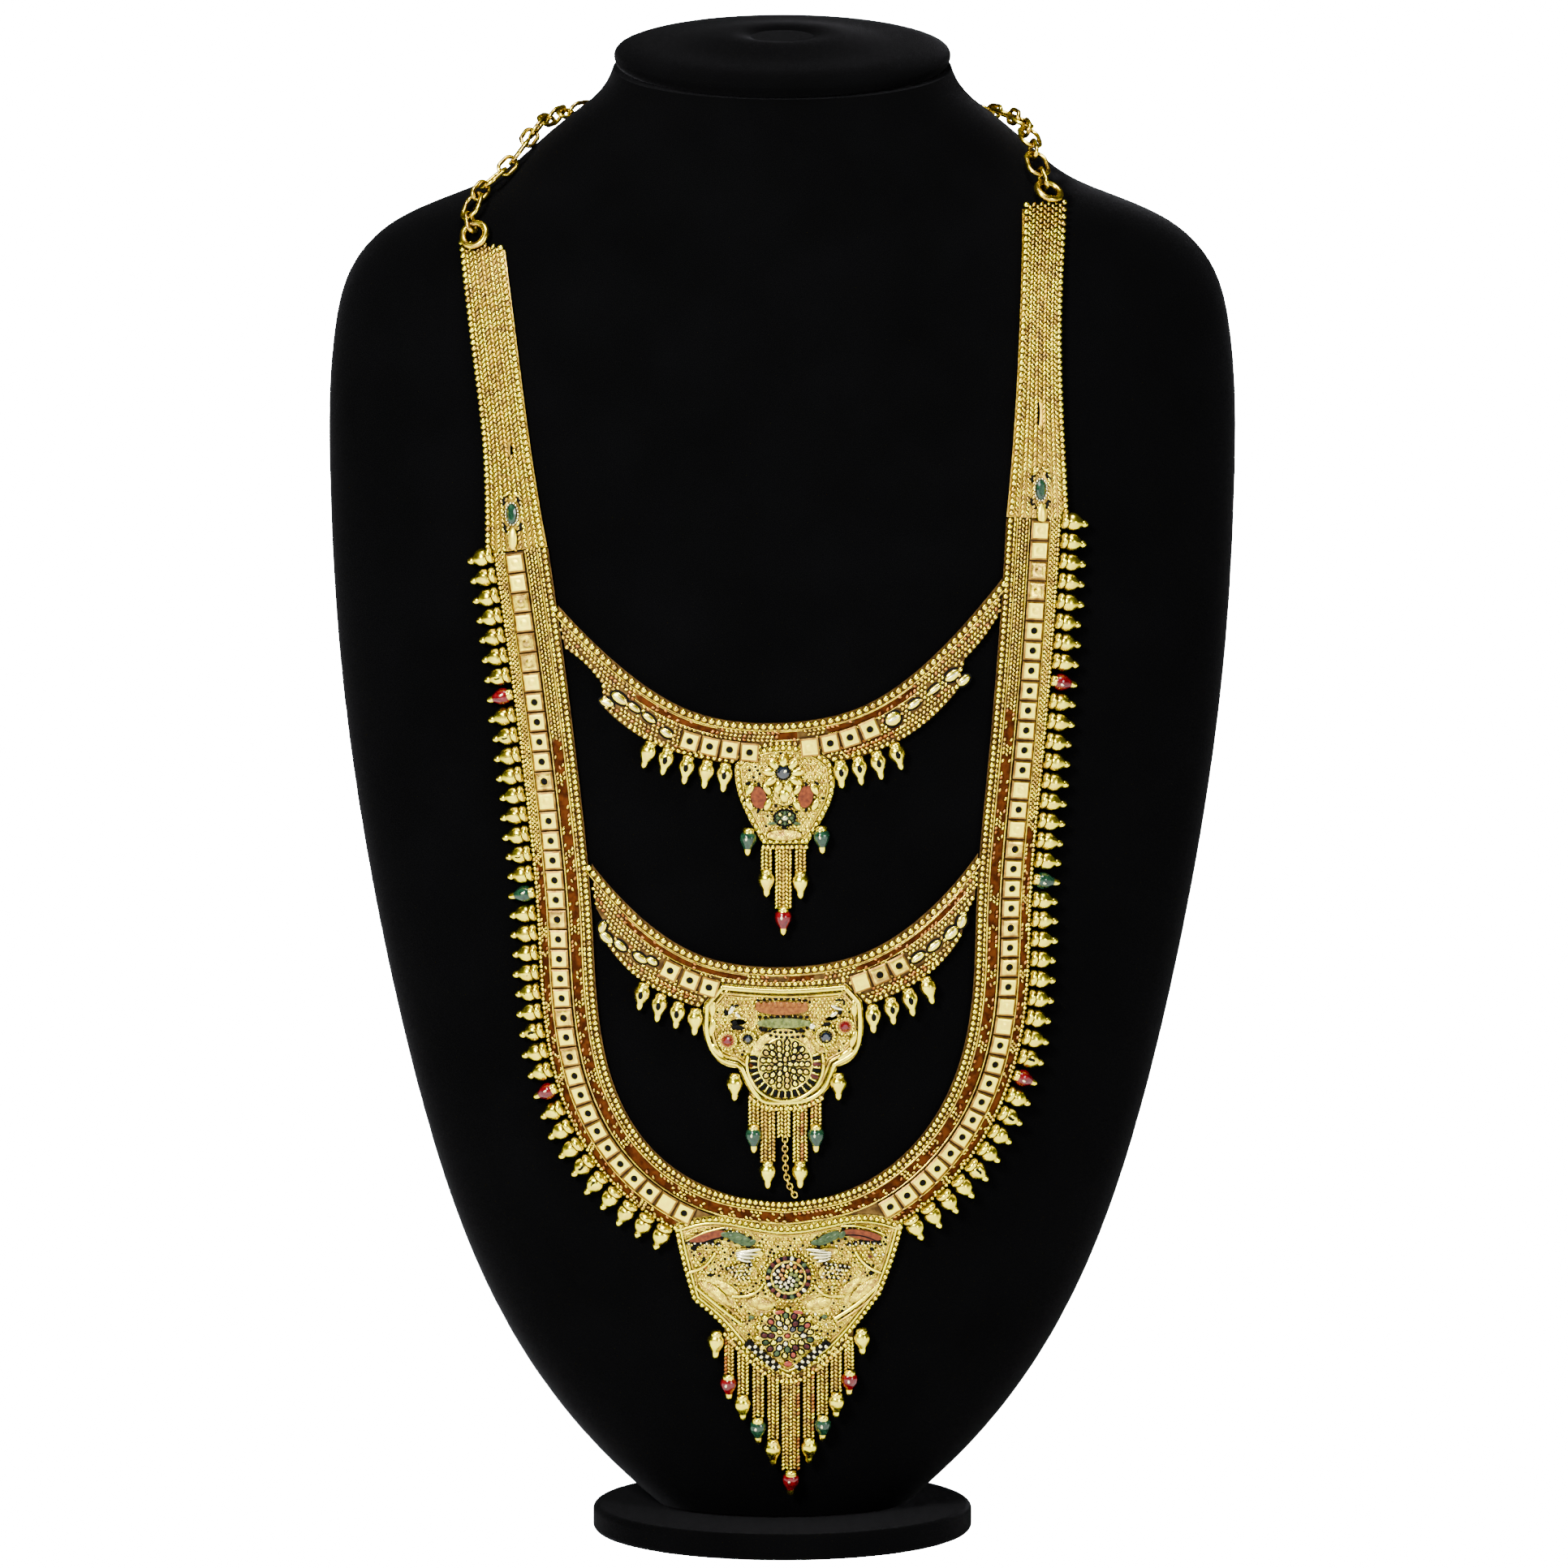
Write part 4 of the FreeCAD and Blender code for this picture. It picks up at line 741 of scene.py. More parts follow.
def band(name, row, side, plain_tiles):
    """One half of the long band over its plate: bead edges, mesh lanes, recesses and tiles."""
    work = Work(name)
    line = curve(row)
    room = pendant_edges["lower"]

    def lane(offset, pitch, start):
        """Places beside the tiles' middle."""
        return clear_of(*spaced(beside(line, side * offset), pitch, start), room, 0.7)

    def lying(offset):
        """A line beside the tiles' middle."""
        path = beside(line, side * offset)
        return path[~inside(path, room)]

    work.row(BEAD, lane(BAND_INNER - 0.75, 1.85, 0.6), PLATE + 0.2, MOSTLY_PALE, (0.9, 0.95, 0.95))
    work.row(GRAIN, lane(BAND_INNER - 2.3, 1.6, 0.2), PLATE + 0.15, {"gold": 0.6, "pale": 0.4},
             (0.8, 0.6, 0.7))
    work.row(GRAIN, lane(0.7 - BAND_OUTER, 1.5, 0.4), PLATE + 0.15, {"pale": 0.4, "gold": 0.6},
             (0.75, 0.8, 0.8))
    for offset in (BAND_INNER - 3.1, 3.3, -3.3):
        work.wire(lying(offset)[::3], 0.34, PLATE + 0.2, "gold")
    # mesh lanes: full above, opening lower down into channels with loose grains, the channels painted dark
    # as shade
    pitch = 1.35
    for middle, width, opening in ((5.2, 3.1, 60), (-4.6, 2, 95)):
        work.ribbon(lying(middle)[int(opening / SPACING):], width, PLATE + 0.08, "recess")
        for number, share in enumerate((-0.34, 0, 0.34)):
            flat, angle = lane(middle + share * width, pitch, 0.7 * (number % 2))
            along = np.arange(len(flat)) * pitch
            opened = along > opening
            bar = (along + 0.6 * number) % 24.0 < 3.0
            keep = ~opened | bar | (rng.random(len(flat)) < (0.14 if number == 1 else 0.34))
            loose = mixed_names(len(flat), {"copper": 0.3, "gold": 0.32, "orange": 0.28, "pale": 0.1})
            woven = mixed_names(len(flat), {"gold": 0.6, "pale": 0.25, "orange": 0.15})
            names = np.where(opened & ~bar, loose, woven)
            work.scatter(GRAIN, flat[keep], angle[keep], PLATE + 0.15, names[keep], (0.72, 0.5, 0.6),
                         lean=0.5 if number % 2 else -0.5)
    flat, angle = spaced(line, TILE_PITCH, TILE_PITCH * 0.55)
    flat, angle = clear_of(flat[:TILES_A_SIDE], angle[:TILES_A_SIDE], room, 2)
    tiles(work, flat, angle, (np.arange(len(flat)) < plain_tiles) | (rng.random(len(flat)) < 0.12))
    work.finish()


def strap(name, edges, stone, gap):
    """Woven strap: beaded edges, staggered rows of grains, and a setting round its stone."""
    work = Work(name)
    both = [curve(edges[side], 0.5) for side in ("inner", "outer")]
    both = [resampled(edge, 1e-3 + lengths(edge)[-1] / 400) for edge in both]
    size = min(map(len, both))
    inner, outer = (edge[:size] for edge in both)
    shares = np.linspace(0.05, 0.95, 11)
    for number, share in enumerate(shares):
        edge = number in (0, len(shares) - 1)
        pitch = 1.9 if edge else 1.5
        flat, angle = spaced(inner * (1 - share) + outer * share, pitch, pitch / 2 * (number % 2))
        keep = (oval(flat, *stone, 1.9, 4.6) > 1) & (oval(flat, *gap) > 1)
        places = flat[keep], angle[keep]
        if edge:
            work.row(BEAD, places, PLATE + 0.1, MOSTLY_PALE, (0.95, 1, 0.9))
        else:
            # more orange grains down the middle: painted shade of the strap's central groove
            centre = abs(share - 0.5) < 0.1
            work.row(GRAIN, places, PLATE + 0.05,
                     {"gold": 0.4, "pale": 0.2, "orange": 0.4} if centre else
                     {"gold": 0.46, "pale": 0.46, "orange": 0.08},
                     (0.98, 0.6, 0.62), 0.6 if number % 2 else -0.6)
    x, z = stone
    work.ring(x, z, 1.95, 3.5, 0.95, PLATE + 0.2, 0.42, "silver")
    for across, up, turn in ((-2.4, 4, 65), (2.4, 4, 115), (-2.4, -4.4, 115), (2.4, -4.4, 65)):
        work.spot(x + across, z + up, 2, 0.7, turn, "pit", PLATE + 0.25)
    work.spot(x + 0.3, z - 8, 3.6, 1.6, 90, "face", PLATE + 0.3, 0.9)
    for across, turn in ((-1.5, 35), (1.5, 145)):
        work.spot(x + across, z + 6.3, 1.5, 0.55, turn, "pale", PLATE + 0.6, 0.6)
    work.finish()


band("band_left_work", LEFT_ROW, -1, 7)
band("band_right_work", RIGHT_ROW, 1, 5)
strap("strap_left_work", LEFT_STRAP, (-85, 334.6), (-85.6, 354.8, 0.9, 2.6))
strap("strap_right_work", RIGHT_STRAP, (81.2, 342.4), (80.9, 366.5, 0.9, 4.2))


# The festoons

def festoon(name, form, squares, leaves, channels, strips, room):
    """A festoon's net of grains with its channels, bead edges, tiles and leaves."""
    work = Work(name)
    top = curve(form["top"])
    lower = np.concatenate([curve(stretch)[:-1] for stretch in form["bottom"]])
    shape = np.concatenate([top, lower[::-1]])
    work.row(BEAD, spaced(beside(top, 1.1), 2.35, 0.5), PLATE + 0.2, {"pale": 0.75, "gold": 0.25},
             (1.05, 1.05, 0.95))
    work.wire(beside(top, 2.35)[::3], 0.3, PLATE + 0.1, "gold")
    for start, end, depth, width in channels:
        path = beside(top, depth)
        path = path[(path[:, 0] > start) & (path[:, 0] < end)]
        # painted shade: a dark strip along each channel
        work.ribbon(path, width, PLATE + 0.06, "recess")
        for edge in (-0.5, 0.5):
            work.wire(beside(path, edge * (width + 0.3))[::3], 0.24, PLATE + 0.12, "gold")
    for row, depth in enumerate(np.arange(3.1, 30, 1.2)):
        flat, angle = spaced(beside(top, depth), 1.45, 0.72 * (row % 2))
        keep = inside(flat, shape) & ~inside(flat, room) & (away(flat, shape) > 1.5)
        for x, z, _ in squares:
            keep &= np.abs(flat - (x, z)).max(1) > 3.1
        for x, z, long, wide, _ in leaves:
            keep &= oval(flat, x, z, 1, 1) > (long + wide) / 2 + 0.4
        names = mixed_names(len(flat), {"gold": 0.5, "pale": 0.26, "orange": 0.14, "copper": 0.1})
        for start, end, middle, width in channels:
            sunk = (flat[:, 0] > start) & (flat[:, 0] < end) & (abs(depth - middle) < width / 2 + 0.3)
            keep &= ~sunk | (rng.random(len(flat)) < 0.3)
            names = np.where(sunk, "copper", names)
        work.scatter(GRAIN, flat[keep], angle[keep], PLATE + 0.1, names[keep], (0.74, 0.56, 0.55),
                     lean=0.5 if row % 2 else -0.5)
    for stretch in form["bottom"]:
        if math.dist(stretch[0], stretch[-1]) >= 7:
            work.row(BEAD, spaced(beside(curve(stretch), -0.85), 1.9, 0.8), PLATE + 0.1,
                     {"pale": 0.6, "gold": 0.4}, 0.82)
    for strip in strips:
        path = curve(strip)
        # painted shade: a dark strip under each row of grains
        work.ribbon(path, 1.7, PLATE + 0.3, "recess")
        work.row(GRAIN, spaced(path, 2.1, 0.6), PLATE + 0.4, {"copper": 0.6, "pale": 0.4},
                 (0.75, 0.42, 0.5))
    for x, z, long, wide, turn in leaves:
        work.spot(x, z, long + 0.3, wide + 0.3, turn, "pit", PLATE + 0.15, 0.4)
        work.spot(x, z, long * 0.9, wide * 0.85, turn, "pale", PLATE + 0.3, 0.7)
        work.spot(x, z, long * 0.7, wide * 0.2, turn, "silver", PLATE + 0.85, 0.25)
    places = np.array(squares)
    middle_tile = np.arange(len(places)) == len(places) // 2
    tiles(work, places[:, :2], np.radians(places[:, 2]), middle_tile)
    work.finish()


festoon("festoon_upper_work", UPPER_FESTOON, UPPER_TILES, UPPER_LEAVES, UPPER_CHANNELS,
        [[(-34, 262.4), (-28, 260.3), (-18, 258)], [(18, 260), (27, 262.8), (38, 268.4)]],
        pendant_edges["upper"])
festoon("festoon_lower_work", LOWER_FESTOON, LOWER_TILES, LOWER_LEAVES, LOWER_CHANNELS,
        [[(-42, 188), (-34, 184.2), (-27, 181.6)], [(27.4, 181.6), (38, 187), (48, 193.6)]],
        pendant_edges["middle"])


# The pendants

def level_at(flat, reliefs):
    """Height of a plate's face at x, z places, in and out of its relief."""
    level = np.full(len(flat), PLATE)
    for relief in reliefs:
        level[oval(flat, *relief) < 1] = RELIEF
    return level


def grained(work, shape, reliefs, clear, margin, shares):
    """Fills a plate with grains of mixed size and tone, apart from the places left clear."""
    low, high = shape.min(0), shape.max(0)
    flat = np.array([(x, z) for row, z in enumerate(np.arange(low[1], high[1], 1.12))
                     for x in np.arange(low[0] + 0.65 * (row % 2), high[0], 1.3)])
    flat = flat + rng.uniform(-0.16, 0.16, flat.shape)
    keep = inside(flat, shape) & (away(flat, shape) > margin)
    for place in clear:
        keep &= oval(flat, *place) > 1
    flat = flat[keep]
    names = mixed_names(len(flat), shares)
    size = rng.uniform(0.48, 0.66, len(flat))[:, None] * (1, 1, 0.8)
    size[names == "pit"] *= (0.8, 0.8, 0.5)
    work.scatter(GRAIN, flat, rng.uniform(0, 3, len(flat)), level_at(flat, reliefs) + 0.02, names, size)


def dots(work, centre, radius, count, names, size, lift, start=0, gaps=None, squash=1):
    """Inlaid dots on a ring, each in a dark collar."""
    for k in range(count):
        turn = start + 360 * k / (gaps or count)
        place = polar(centre, radius, radius * squash, turn)
        work.spot(*place, size * 1.5, size * 1.4, turn, "pit", lift)
        work.spot(*place, size, size * 0.85, turn, names[k % len(names)], lift + 0.15, 0.4)


def pendant(part, beads, wires, clear, margin, shares, ornament, marks):
    """A pendant's rim of beads and wires set inward, its grains, its ornament and small marks."""
    work = Work(f"pendant_{part}_work")
    shape, reliefs = pendant_edges[part], RELIEFS[part]
    line = np.concatenate([shape, shape[:1]])
    for offset, pitch, size, name in beads:
        work.row(BEAD, spaced(beside(line, offset), pitch, 0.3), PLATE + 0.15, name, size)
    for offset, radius, name in wires:
        work.wire(beside(line, offset)[::2], radius, PLATE + 0.1, name)
    grained(work, shape, reliefs, clear, margin, shares)
    ornament(work)
    for mark in marks:
        level = level_at(np.array([mark[:2]]), reliefs)[0]
        work.spot(*mark, level + (0.25 if mark[5] == "pit" else 0.35), 0.35)
    work.finish()


def upper_ornament(work):
    """A flower at the top, two oval flowers beside it, a small ring and a bar."""
    for k in range(9):
        turn = 40 * k + 50
        place = polar((0.3, 253.4), 4.5, 4.1, turn)
        work.spot(*place, 2.5, 1.7, turn, "orange", PLATE + 0.5, 0.5)
        work.spot(*place, 2.3, 1.4, turn, "pale", PLATE + 0.75, 0.9)
    work.ring(0.3, 254, 2.3, 2.3, 0.8, RELIEF + 0.1, 0.38, "pit")
    # painted highlight: a small silver spot on the blue stone
    work.spot(0.9, 254.5, 0.6, 0.4, 30, "silver", RELIEF + 1, 0.2)
    for x in (-7.5, 7.4):
        work.ring(x, 246, 2.7, 3.9, 1.35, PLATE + 0.2, 0.55, "pale")
        for across, up, turn in ((-2.7, 2.6, 60), (2.7, 2.6, 120), (-2.9, -2.2, 115), (2.9, -2.2, 65)):
            work.spot(x + across, 246 + up, 2, 1.1, turn, "pale", PLATE + 0.9, 0.6)
        for up in (4.2, -4):
            work.spot(x, 246 + up, 0.7, 0.5, 90, "pit", PLATE + 1)
    work.ring(0.8, 239.4, 3.3, 2.6, 0.9, PLATE + 0.4, 0.45, "pit")
    dots(work, (0.8, 239.4), 2.1, 8, ("green", "pale"), 0.62, PLATE + 0.75, squash=0.8)
    work.spot(0.8, 239.4, 1, 0.8, 0, "silver", PLATE + 0.9, 0.5)
    work.spot(0.6, 233.6, 5.4, 1.5, 0, "sheet", RELIEF - 0.2, 0.8)
    work.spot(0.6, 246.6, 1.5, 2.3, 0, "pale", RELIEF, 0.7)


def middle_ornament(work):
    """A round fan of dots, four ring settings and two rows of red and olive inlays."""
    fan = (0.9, 160.4)
    # the outer ring from its left end, round below, to its right end
    work.wire(np.roll(arc(fan, 12, 12, 100), -46, axis=0)[:59], 0.7, PLATE + 0.4, "pale")
    work.wire(arc(fan, 8.5, 8.5, 100), 0.35, RELIEF - 0.1, "pale")
    for k in range(18):
        turn = 12 * k - 192
        name = "maroon" if k > 13 and k % 2 == 0 else "pit"
        work.spot(*polar(fan, 10, 9.8, turn), 1.45, 0.72, turn, name, RELIEF + 0.15, 0.35)
        work.spot(*polar(fan, 10, 9.8, turn + 6), 1.3, 0.4, turn + 6, "pale", RELIEF + 0.15, 0.5)
    for radius, count in ((7, 17), (5.2, 13), (3.4, 9), (1.6, 4)):
        dots(work, fan, radius, count, ("pale", "gold", "pale"), 0.85, RELIEF + 0.1)
    for x, z, size, heart in ((-17.2, 167.8, 2.7, "bright"), (-10.8, 168.4, 2.4, "pit"),
                              (13.6, 169.2, 2.9, "pit"), (19.7, 172.4, 2.6, "bright")):
        work.ring(x, z, size, size, 1, RELIEF - 0.2, 0.55, "pale")
        work.ring(x, z, size - 1, size - 1, 0.8, RELIEF + 0.1, 0.35, heart)
    for x, z, turn in ((-22, 172, 80), (-20.5, 164.4, 130), (22.4, 168.4, 75), (19.8, 163.4, 40),
                       (-22, 178.4, 90), (22.6, 178.2, 90)):
        work.spot(x, z, 3, 1.2, turn, "pale", PLATE + 0.3, 0.8)
    for k in range(9):
        x = -7.6 + 1.85 * k
        bow = k * (8 - k)
        work.spot(x, 180.9 + 0.02 * bow, 0.6, 0.42, 0, "pit", PLATE + 0.4)
        work.spot(x, 179.4, 1, 0.9, 90, "brick", PLATE + 0.75, 0.4)
        work.spot(x + 0.5, 175.5, 0.6, 0.5, 0, "pit", PLATE + 0.6)
        work.spot(x + 0.9, 173.4, 1, 0.9, 90, "olive", PLATE + 0.7, 0.4)
        work.spot(x + 0.6, 171.8 - 0.05 * bow, 0.5, 0.5, 0, "pit", PLATE + 0.4)
    for z, wide, shift in ((170.6, 6.6, 0), (169, 5.4, 0.85)):
        for x in np.arange(-wide, wide + 0.1, 1.7):
            work.spot(fan[0] + x + shift, z + 0.02 * x * x, 0.6, 0.5, 0, "pit", RELIEF + 0.1)


def lower_ornament(work):
    """A rosette over a round disc of dots, with wings, curved wires and triangles of dots."""
    for x, z, wide, high, turn in ((-21.6, 85.2, 6, 2.6, -38), (26, 86.2, 6, 2.6, 38),
                                   (-17, 86.6, 4.6, 1.8, -38), (21.2, 87.4, 4.6, 1.8, 38),
                                   (-7, 82.2, 4.2, 2.2, -12), (11.4, 82.2, 4.2, 2.2, 12)):
        work.spot(x, z, wide, high, turn, "sheet", PLATE + 0.05, 0.5)
    for line in ([(-30.2, 102.6), (-24, 105.6), (-18, 107.2)],
                 [(18.2, 107.6), (25.4, 107.2), (32.4, 104.4)]):
        work.wire(curve(line)[::2], 0.35, PLATE + 0.6, "pale")
        work.wire(beside(curve(line), 2.9)[::2], 0.4, PLATE + 0.5, "pit")
    for line in ([(-27.4, 87.6), (-18.6, 80), (-12.7, 75.4)], [(30.6, 88.4), (23.7, 82), (15.9, 76.8)]):
        work.wire(curve(line)[::2], 0.7, PLATE + 0.3, "pale")
        work.wire(beside(curve(line), -1.5)[::2], 0.35, PLATE + 0.3, "orange")
    for line, side in (([(-11.4, 69), (-1.7, 60.4)], -1), ([(14.8, 69), (4.8, 60.1)], 1)):
        flat, angle = spaced(curve(line), 1.25, 0.2)
        names = np.where(np.arange(len(flat)) % 2 == 0, "pit", "silver")
        inward = np.column_stack([np.sin(angle), -np.cos(angle)]) * side
        for number, across in enumerate((0, 1.3)):
            work.scatter(BEAD, flat + inward * across, angle, RELIEF - 0.1, np.roll(names, number),
                         (0.66, 0.75, 0.5))
    for line in ([(-30, 92), (-25, 94), (-21, 99)], [(31, 92), (27, 94), (23, 99)],
                 [(-16, 84.6), (-9, 85.6), (-6, 88.6)], [(19.6, 84.6), (12.6, 85.6), (9.8, 88.6)]):
        work.wire(curve(line)[::2], 0.55, PLATE + 0.4, "pale")
    rosette = (1.9, 91)
    work.wire(arc(rosette, 6.4, 6.4, 90), 1.05, RELIEF - 0.15, "pit", flatten=0.4)
    for k in range(18):
        name = ("copper", "maroon", "green", "copper", "silver", "maroon")[k % 6]
        work.spot(*polar(rosette, 6.4, 6.4, 20 * k), 0.85, 0.72, 20 * k, name, RELIEF + 0.15, 0.45)
    work.ring(*rosette, 7.8, 7.8, 1.25, RELIEF, 0.5, "pale")
    work.spot(*rosette, 5.2, 5.2, 0, "pit", RELIEF - 0.05, 0.25)
    for k in range(34):
        reach, turn = 0.82 * math.sqrt(k + 0.3), math.degrees(2.4 * k)
        name = ("silver", "pale", "silver", "olive", "copper")[k % 5]
        work.spot(*polar(rosette, reach, reach, turn), 0.76, 0.64, turn, name, RELIEF + 0.15, 0.5)
    for x, z, side in ((-13.4, 92.4, -1), (16.9, 92.8, 1)):
        for row in range(4):
            for column in range(6 - row):
                across = x + side * (-3.4 + 1.45 * column + 0.3 * row)
                up = z + 2.6 - 1.45 * row - 0.25 * column
                work.spot(across, up, 0.72, 0.72, 0, "pit", RELIEF)
                work.spot(across + 0.3, up + 0.25, 0.42, 0.42, 0, "silver", RELIEF + 0.15, 0.4)
    for x, side in ((-13.6, -1), (14.4, 1)):
        for k in range(5):
            across, up = x + side * (4.4 - 2.1 * k), 102.4 + 0.6 * (4 - k)
            work.spot(across, up, 1.45, 0.95, side * (35 - 12 * k) + 20, "green", PLATE + 0.75, 0.4)
            work.spot(across + side, up - 1.5, 0.6, 0.45, 0, "pit", PLATE + 0.4)
            work.spot(across + 0.5 * side, up + 1.6, 0.5, 0.4, 0, "pit", PLATE + 0.4)
        for k in range(6):
            across, up = x + side * (6.6 + 1.9 * k), 101.6 + 0.3 * k * (1.2 - 0.2 * k)
            work.spot(across, up, 0.85, 0.8, 0, "pit", PLATE + 0.35)
            work.spot(across + 0.3, up - 0.3, 0.45, 0.45, 0, "silver", PLATE + 0.5, 0.4)
        for k in range(4):
            work.spot(x - side * (3.0 - 0.5 * k), 99.7 - k, 4.2 - 0.6 * k, 0.62, side * (7 * k - 8),
                      "silver", RELIEF + 0.1, 0.6)
    disc = (1.6, 71.9)
    work.spot(*disc, 8.6, 7.8, 0, "sheet", RELIEF - 0.25, 0.5)
    dots(work, disc, 7.2, 18, ("pale", "maroon", "green", "pale", "bright"), 0.9, RELIEF + 0.1,
         -160, 17, 0.92)
    dots(work, disc, 5, 12, ("silver", "green", "maroon", "pale"), 0.95, RELIEF + 0.15, squash=0.92)
    dots(work, disc, 2.7, 7, ("pale", "blue", "silver"), 0.85, RELIEF + 0.15)
    dots(work, disc, 0, 1, ("bright",), 0.8, RELIEF + 0.15)
    for x, turn in ((-1, 8), (5, -8)):
        work.spot(x, 79.6, 1.6, 0.65, turn, "bright", RELIEF + 0.1, 0.4)
    work.spot(1.8, 62.4, 1.3, 1, 0, "bright", PLATE + 0.9, 0.4)
    for turn in range(-30, 211, 24):
        work.spot(*polar(disc, 9.2, 8.3, turn), 1.2, 0.9, turn, "pale", PLATE + 0.7, 0.6)


pendant("upper", [(0.9, 2, 0.85, "pale")], [(2, 0.3, "gold")], UPPER_CLEAR, 2.4,
        {"pale": 0.42, "gold": 0.38, "orange": 0.1, "pit": 0.1}, upper_ornament, UPPER_MARKS)
pendant("middle", [], [(1.2, 0.95, "pale"), (2.9, 0.6, "gold"), (3.8, 0.3, "orange")], MIDDLE_CLEAR, 3.4,
        {"pale": 0.36, "gold": 0.42, "orange": 0.18, "pit": 0.04}, middle_ornament, MIDDLE_MARKS)
pendant("lower", [(0.9, 1.9, 0.8, "pale")], [(2.1, 0.45, "pale"), (3.1, 0.25, "orange")], LOWER_CLEAR, 3.5,
        {"pale": 0.32, "gold": 0.38, "orange": 0.12, "pit": 0.14, "silver": 0.04},
        lower_ornament, LOWER_MARKS)


# Bud drops, each where the frame has one

def loose_parts(node):
    """The separate solids of a node as point sets, in millimetres."""
    mesh = nodes[node].data
    points = np.zeros(len(mesh.vertices) * 3)
    mesh.vertices.foreach_get("co", points)
    points = points.reshape(-1, 3) / MM
    keys, index = np.unique(np.round(points, 3), axis=0, return_inverse=True)
    index = index.ravel()
    parent = list(range(len(keys)))

    def root(k):
        while parent[k] != k:
            parent[k] = parent[parent[k]]
            k = parent[k]
        return k

    for polygon in mesh.polygons:
        first, *others = (root(index[vertex]) for vertex in polygon.vertices)
        for other in others:
            parent[root(other)] = root(first)
    groups = {}
    for k in range(len(keys)):
        groups.setdefault(root(k), []).append(k)
    return [keys[group] for group in groups.values()]


def drop_frames(node):
    """Head, hanging direction, side and outward normal of each drop of a node."""
    frames = []
    for points in loose_parts(node):
        centre = (points.min(0) + points.max(0)) / 2
        _, _, axes = np.linalg.svd(points - points.mean(0), full_matrices=False)
        axis = axes[0]
        along = (points - centre) @ axis
        across = np.linalg.norm(points - centre - along[:, None] * axis, axis=1)
        reach = along.max()
        if across[along > reach - 1.2].max() > across[along < -reach + 1.2].max():
            axis, along = -axis, -along
        head = centre + axis * along.min()
        _, _, _, normal = skin_frame(np.array([[centre[0], centre[2]]]))
        side = np.cross(normal[0], axis)
        side /= np.linalg.norm(side)
        frames.append((head, axis, side, np.cross(axis, side)))
    return frames


def drops(node, profile, pierced=0, body="pale", slot="gold"):
    """Bud drops with waist, flutes and tip, in place of the frame's plain ones."""
    work = Work(f"{node}_work", slot, (node,))
    # the groove below each cap is in the dark recess metal: painted shade
    parts = [(bud(profile, ("body",)), body), (bud(profile, ("cap", "tip")), "pale"),
             (bud(profile, ("groove",)), "recess")]
    for head, axis, side, normal in drop_frames(node):
        grow = 1.0 + rng.uniform(-0.04, 0.04)
        turn = rng.uniform(0, np.pi)
        across = math.cos(turn) * side + math.sin(turn) * normal
        out = math.cos(turn) * normal - math.sin(turn) * side
        for (points, faces), material in parts:
            work.add(head + points * (grow, 1, 1) @ np.array([axis, across, out]), faces, material)
        # a dark slot in some of the gold drops, a painted highlight (a small silver bead) on each stone
        # one
        if rng.random() < pierced and head[2] < PIERCED_BELOW:
            size, place, material = (1.3, 0.8, 0.35), (2.9, 0, 2.42), "pit"
        elif body != "pale":
            size, place, material = (0.6, 0.4, 0.2), (2.4, -0.6, 2.45), "silver"
        else:
            continue
        points, faces = BEAD
        work.add(head + (points * size + place) @ np.array([axis, side, normal]), faces, material)
    work.finish()


for node in ("drops_left", "drops_right"):
    drops(node, BUD_PROFILE, 0.35)
for node in ("drops_upper", "drops_lower"):
    drops(node, TEAR_PROFILE, 0.7)
for node in ("fringe_drops_upper", "fringe_drops_middle", "fringe_drops_lower"):
    drops(node, TEAR_PROFILE)
drops("ruby_drops", TEAR_PROFILE, body="ruby", slot="ruby_stone")
drops("emerald_drops", TEAR_PROFILE, body="emerald", slot="emerald_stone")


# The fringes and the tie chain

def fringe(name, strands, rail):
    """Plaited chains: columns of grains that lean in turn, under a row of beads."""
    work = Work(name)
    for x, top, bottom, bar_width in strands:
        wide = bar_width + 0.9
        columns = max(2, round(wide / 1.15))
        tones = mixed_names(columns, {"gold": 0.5, "orange": 0.18, "copper": 0.12, "pale": 0.2})
        for column in range(columns):
            across = x + wide * ((column + 0.5) / columns - 0.5)
            z = np.arange(bottom + 0.4, top, 1.25) + 0.3 * (column % 2)
            flat = np.column_stack([np.full(len(z), across), z])
            names = np.where(rng.random(len(z)) < 0.6, tones[column],
                             mixed_names(len(z), {"gold": 0.5, "pale": 0.5}))
            work.scatter(GRAIN, flat, math.pi / 2, PLATE + 0.05, names, (0.82, 0.56, 0.7),
                         lean=0.6 if column % 2 else -0.6)
    work.row(BEAD, spaced(curve(rail), 1.5, 0.4), PLATE + 0.3, {"pale": 0.7, "orange": 0.3}, 0.75)
    work.finish()


def tie_chain():
    """Small links in turn flat and upright along the frame's route."""
    work = Work("tie_chain_work", replaces=("tie_chain",))
    flat, angle = spaced(curve(TIE_ROUTE), 1.55, 0.2)
    points, faces = ring_shape(0.85, 0.27)
    work.scatter((points * LINK_STRETCH, faces), flat[::2], angle[::2], TIE_HEIGHT, "gold")
    upright = points[:, [0, 2, 1]] * LINK_STRETCH
    work.scatter((upright, faces), flat[1::2], angle[1::2], TIE_HEIGHT, "orange")
    work.finish()


fringe("fringe_upper_work", UPPER_STRANDS, [(-6.4, 230.1), (8.2, 230.1)])
fringe("fringe_middle_work", MIDDLE_STRANDS,
       [(-10.2, 149.4), (-6.7, 146.7), (0.3, 145.8), (7.8, 146.7), (12.8, 149.4)])
fringe("fringe_lower_work", LOWER_STRANDS,
       [(-18.4, 72.2), (-10.4, 63.4), (1.8, 56.2), (14.2, 63.2), (22.6, 71.4)])
tie_chain()


# Stage, light and camera

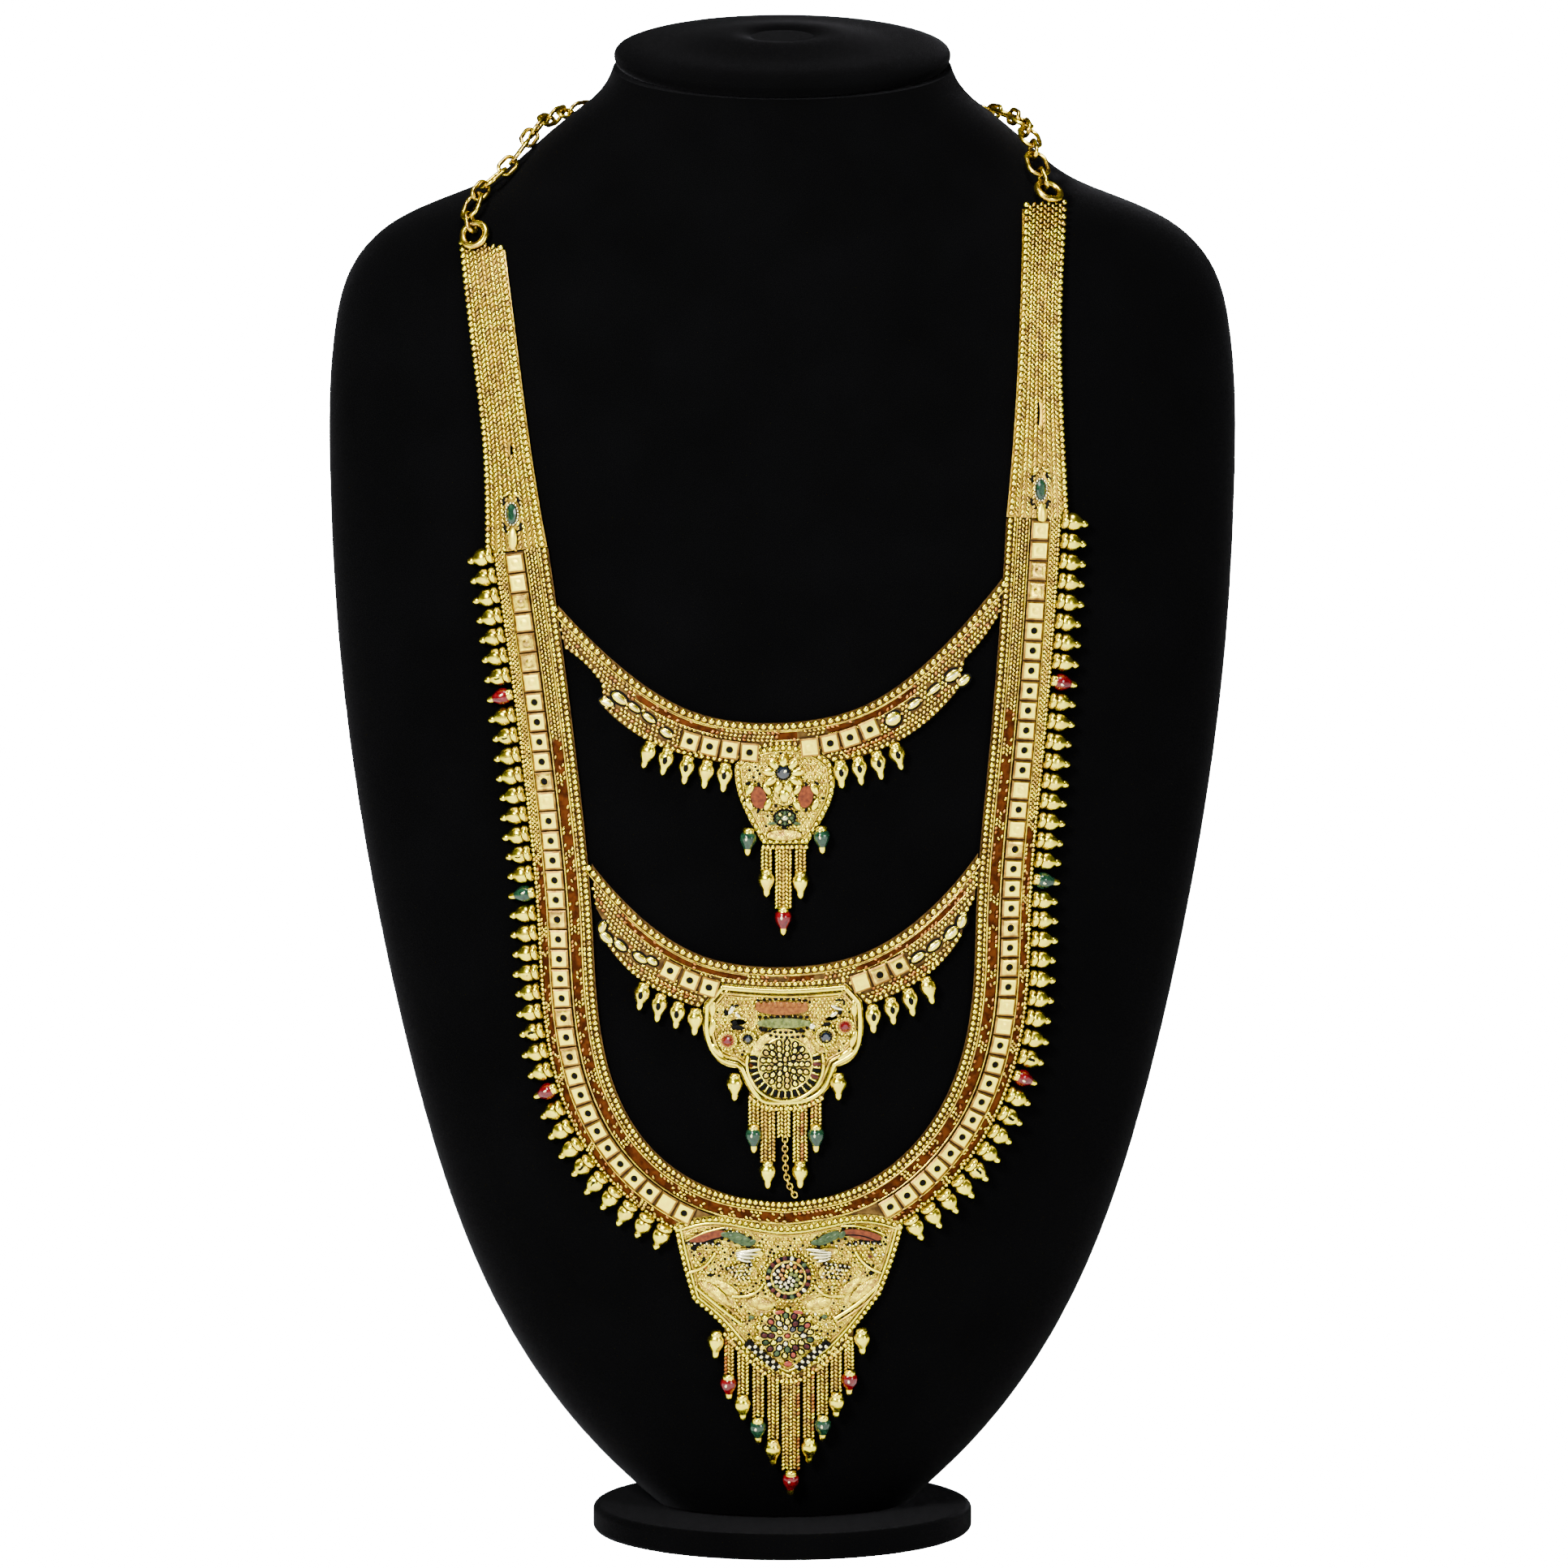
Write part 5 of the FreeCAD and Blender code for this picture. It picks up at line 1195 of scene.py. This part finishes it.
def white_for_camera(paint, given, seen):
    """A strength that differs between the light it gives and the camera's view."""
    spread = paint.node("MapRange", To_Min=given, To_Max=seen)
    paint.link(paint.node("LightPath").outputs["Is Camera Ray"], spread.inputs["Value"])
    return spread.outputs["Result"]


def linked(label, data):
    """A new object in the scene."""
    made = bpy.data.objects.new(label, data)
    bpy.context.scene.collection.objects.link(made)
    return made


def stage():
    """A white floor, a white world and soft studio light."""
    mesh = bpy.data.meshes.new("floor")
    mesh.from_pydata([(-6, -6, 0), (6, -6, 0), (6, 6, 0), (-6, 6, 0)], [], [(0, 1, 2, 3)])
    floor = linked("floor", mesh)
    paint = Paint(bpy.data.materials.new("floor_paint"))
    surface = paint.surface(Base_Color=(0.95, 0.95, 0.95, 1), Roughness=0.6, Emission_Color=(1, 1, 1, 1))
    paint.link(white_for_camera(paint, 0, WHITE), surface.inputs["Emission Strength"])
    mesh.materials.append(paint.owner)
    paint = Paint(bpy.data.worlds.new("studio"))
    surface = paint.surface("Background", "OutputWorld", Color=(1, 1, 1, 1))
    paint.link(white_for_camera(paint, 0.05, WHITE), surface.inputs["Strength"])
    bpy.context.scene.world = paint.owner
    for label, place, size, power in (
            ("key", (-1, -1.9, 1.4), 0.5, 180), ("fill", (1.5, -1.6, 0.5), 0.6, 28),
            ("top", (0.1, -0.5, 1.9), 0.6, 56), ("front", (0, -6, 0.2), 3, 25)):
        light = bpy.data.lights.new(label, "AREA")
        light.size = size
        light.energy = power
        lamp = linked(label, light)
        lamp.location = place
        lamp.rotation_euler = (Vector((0, 0, 0.25)) - Vector(place)).to_track_quat("-Z", "Y").to_euler()


def camera():
    """A long lens a little above the middle of the bust."""
    aim, distance, rise = Vector((0.52, 0, 241.8)) * MM, 5, math.radians(7.5)
    data = bpy.data.cameras.new("camera")
    data.sensor_width = 36.0
    data.lens = data.sensor_width * distance / (PHOTO_WIDTH * MM)
    data.clip_end = 100.0
    view = linked("camera", data)
    view.location = aim - Vector((0, math.cos(rise), -math.sin(rise))) * distance
    view.rotation_euler = (math.pi / 2 - rise, 0, 0)
    bpy.context.scene.camera = view


stage()
camera()
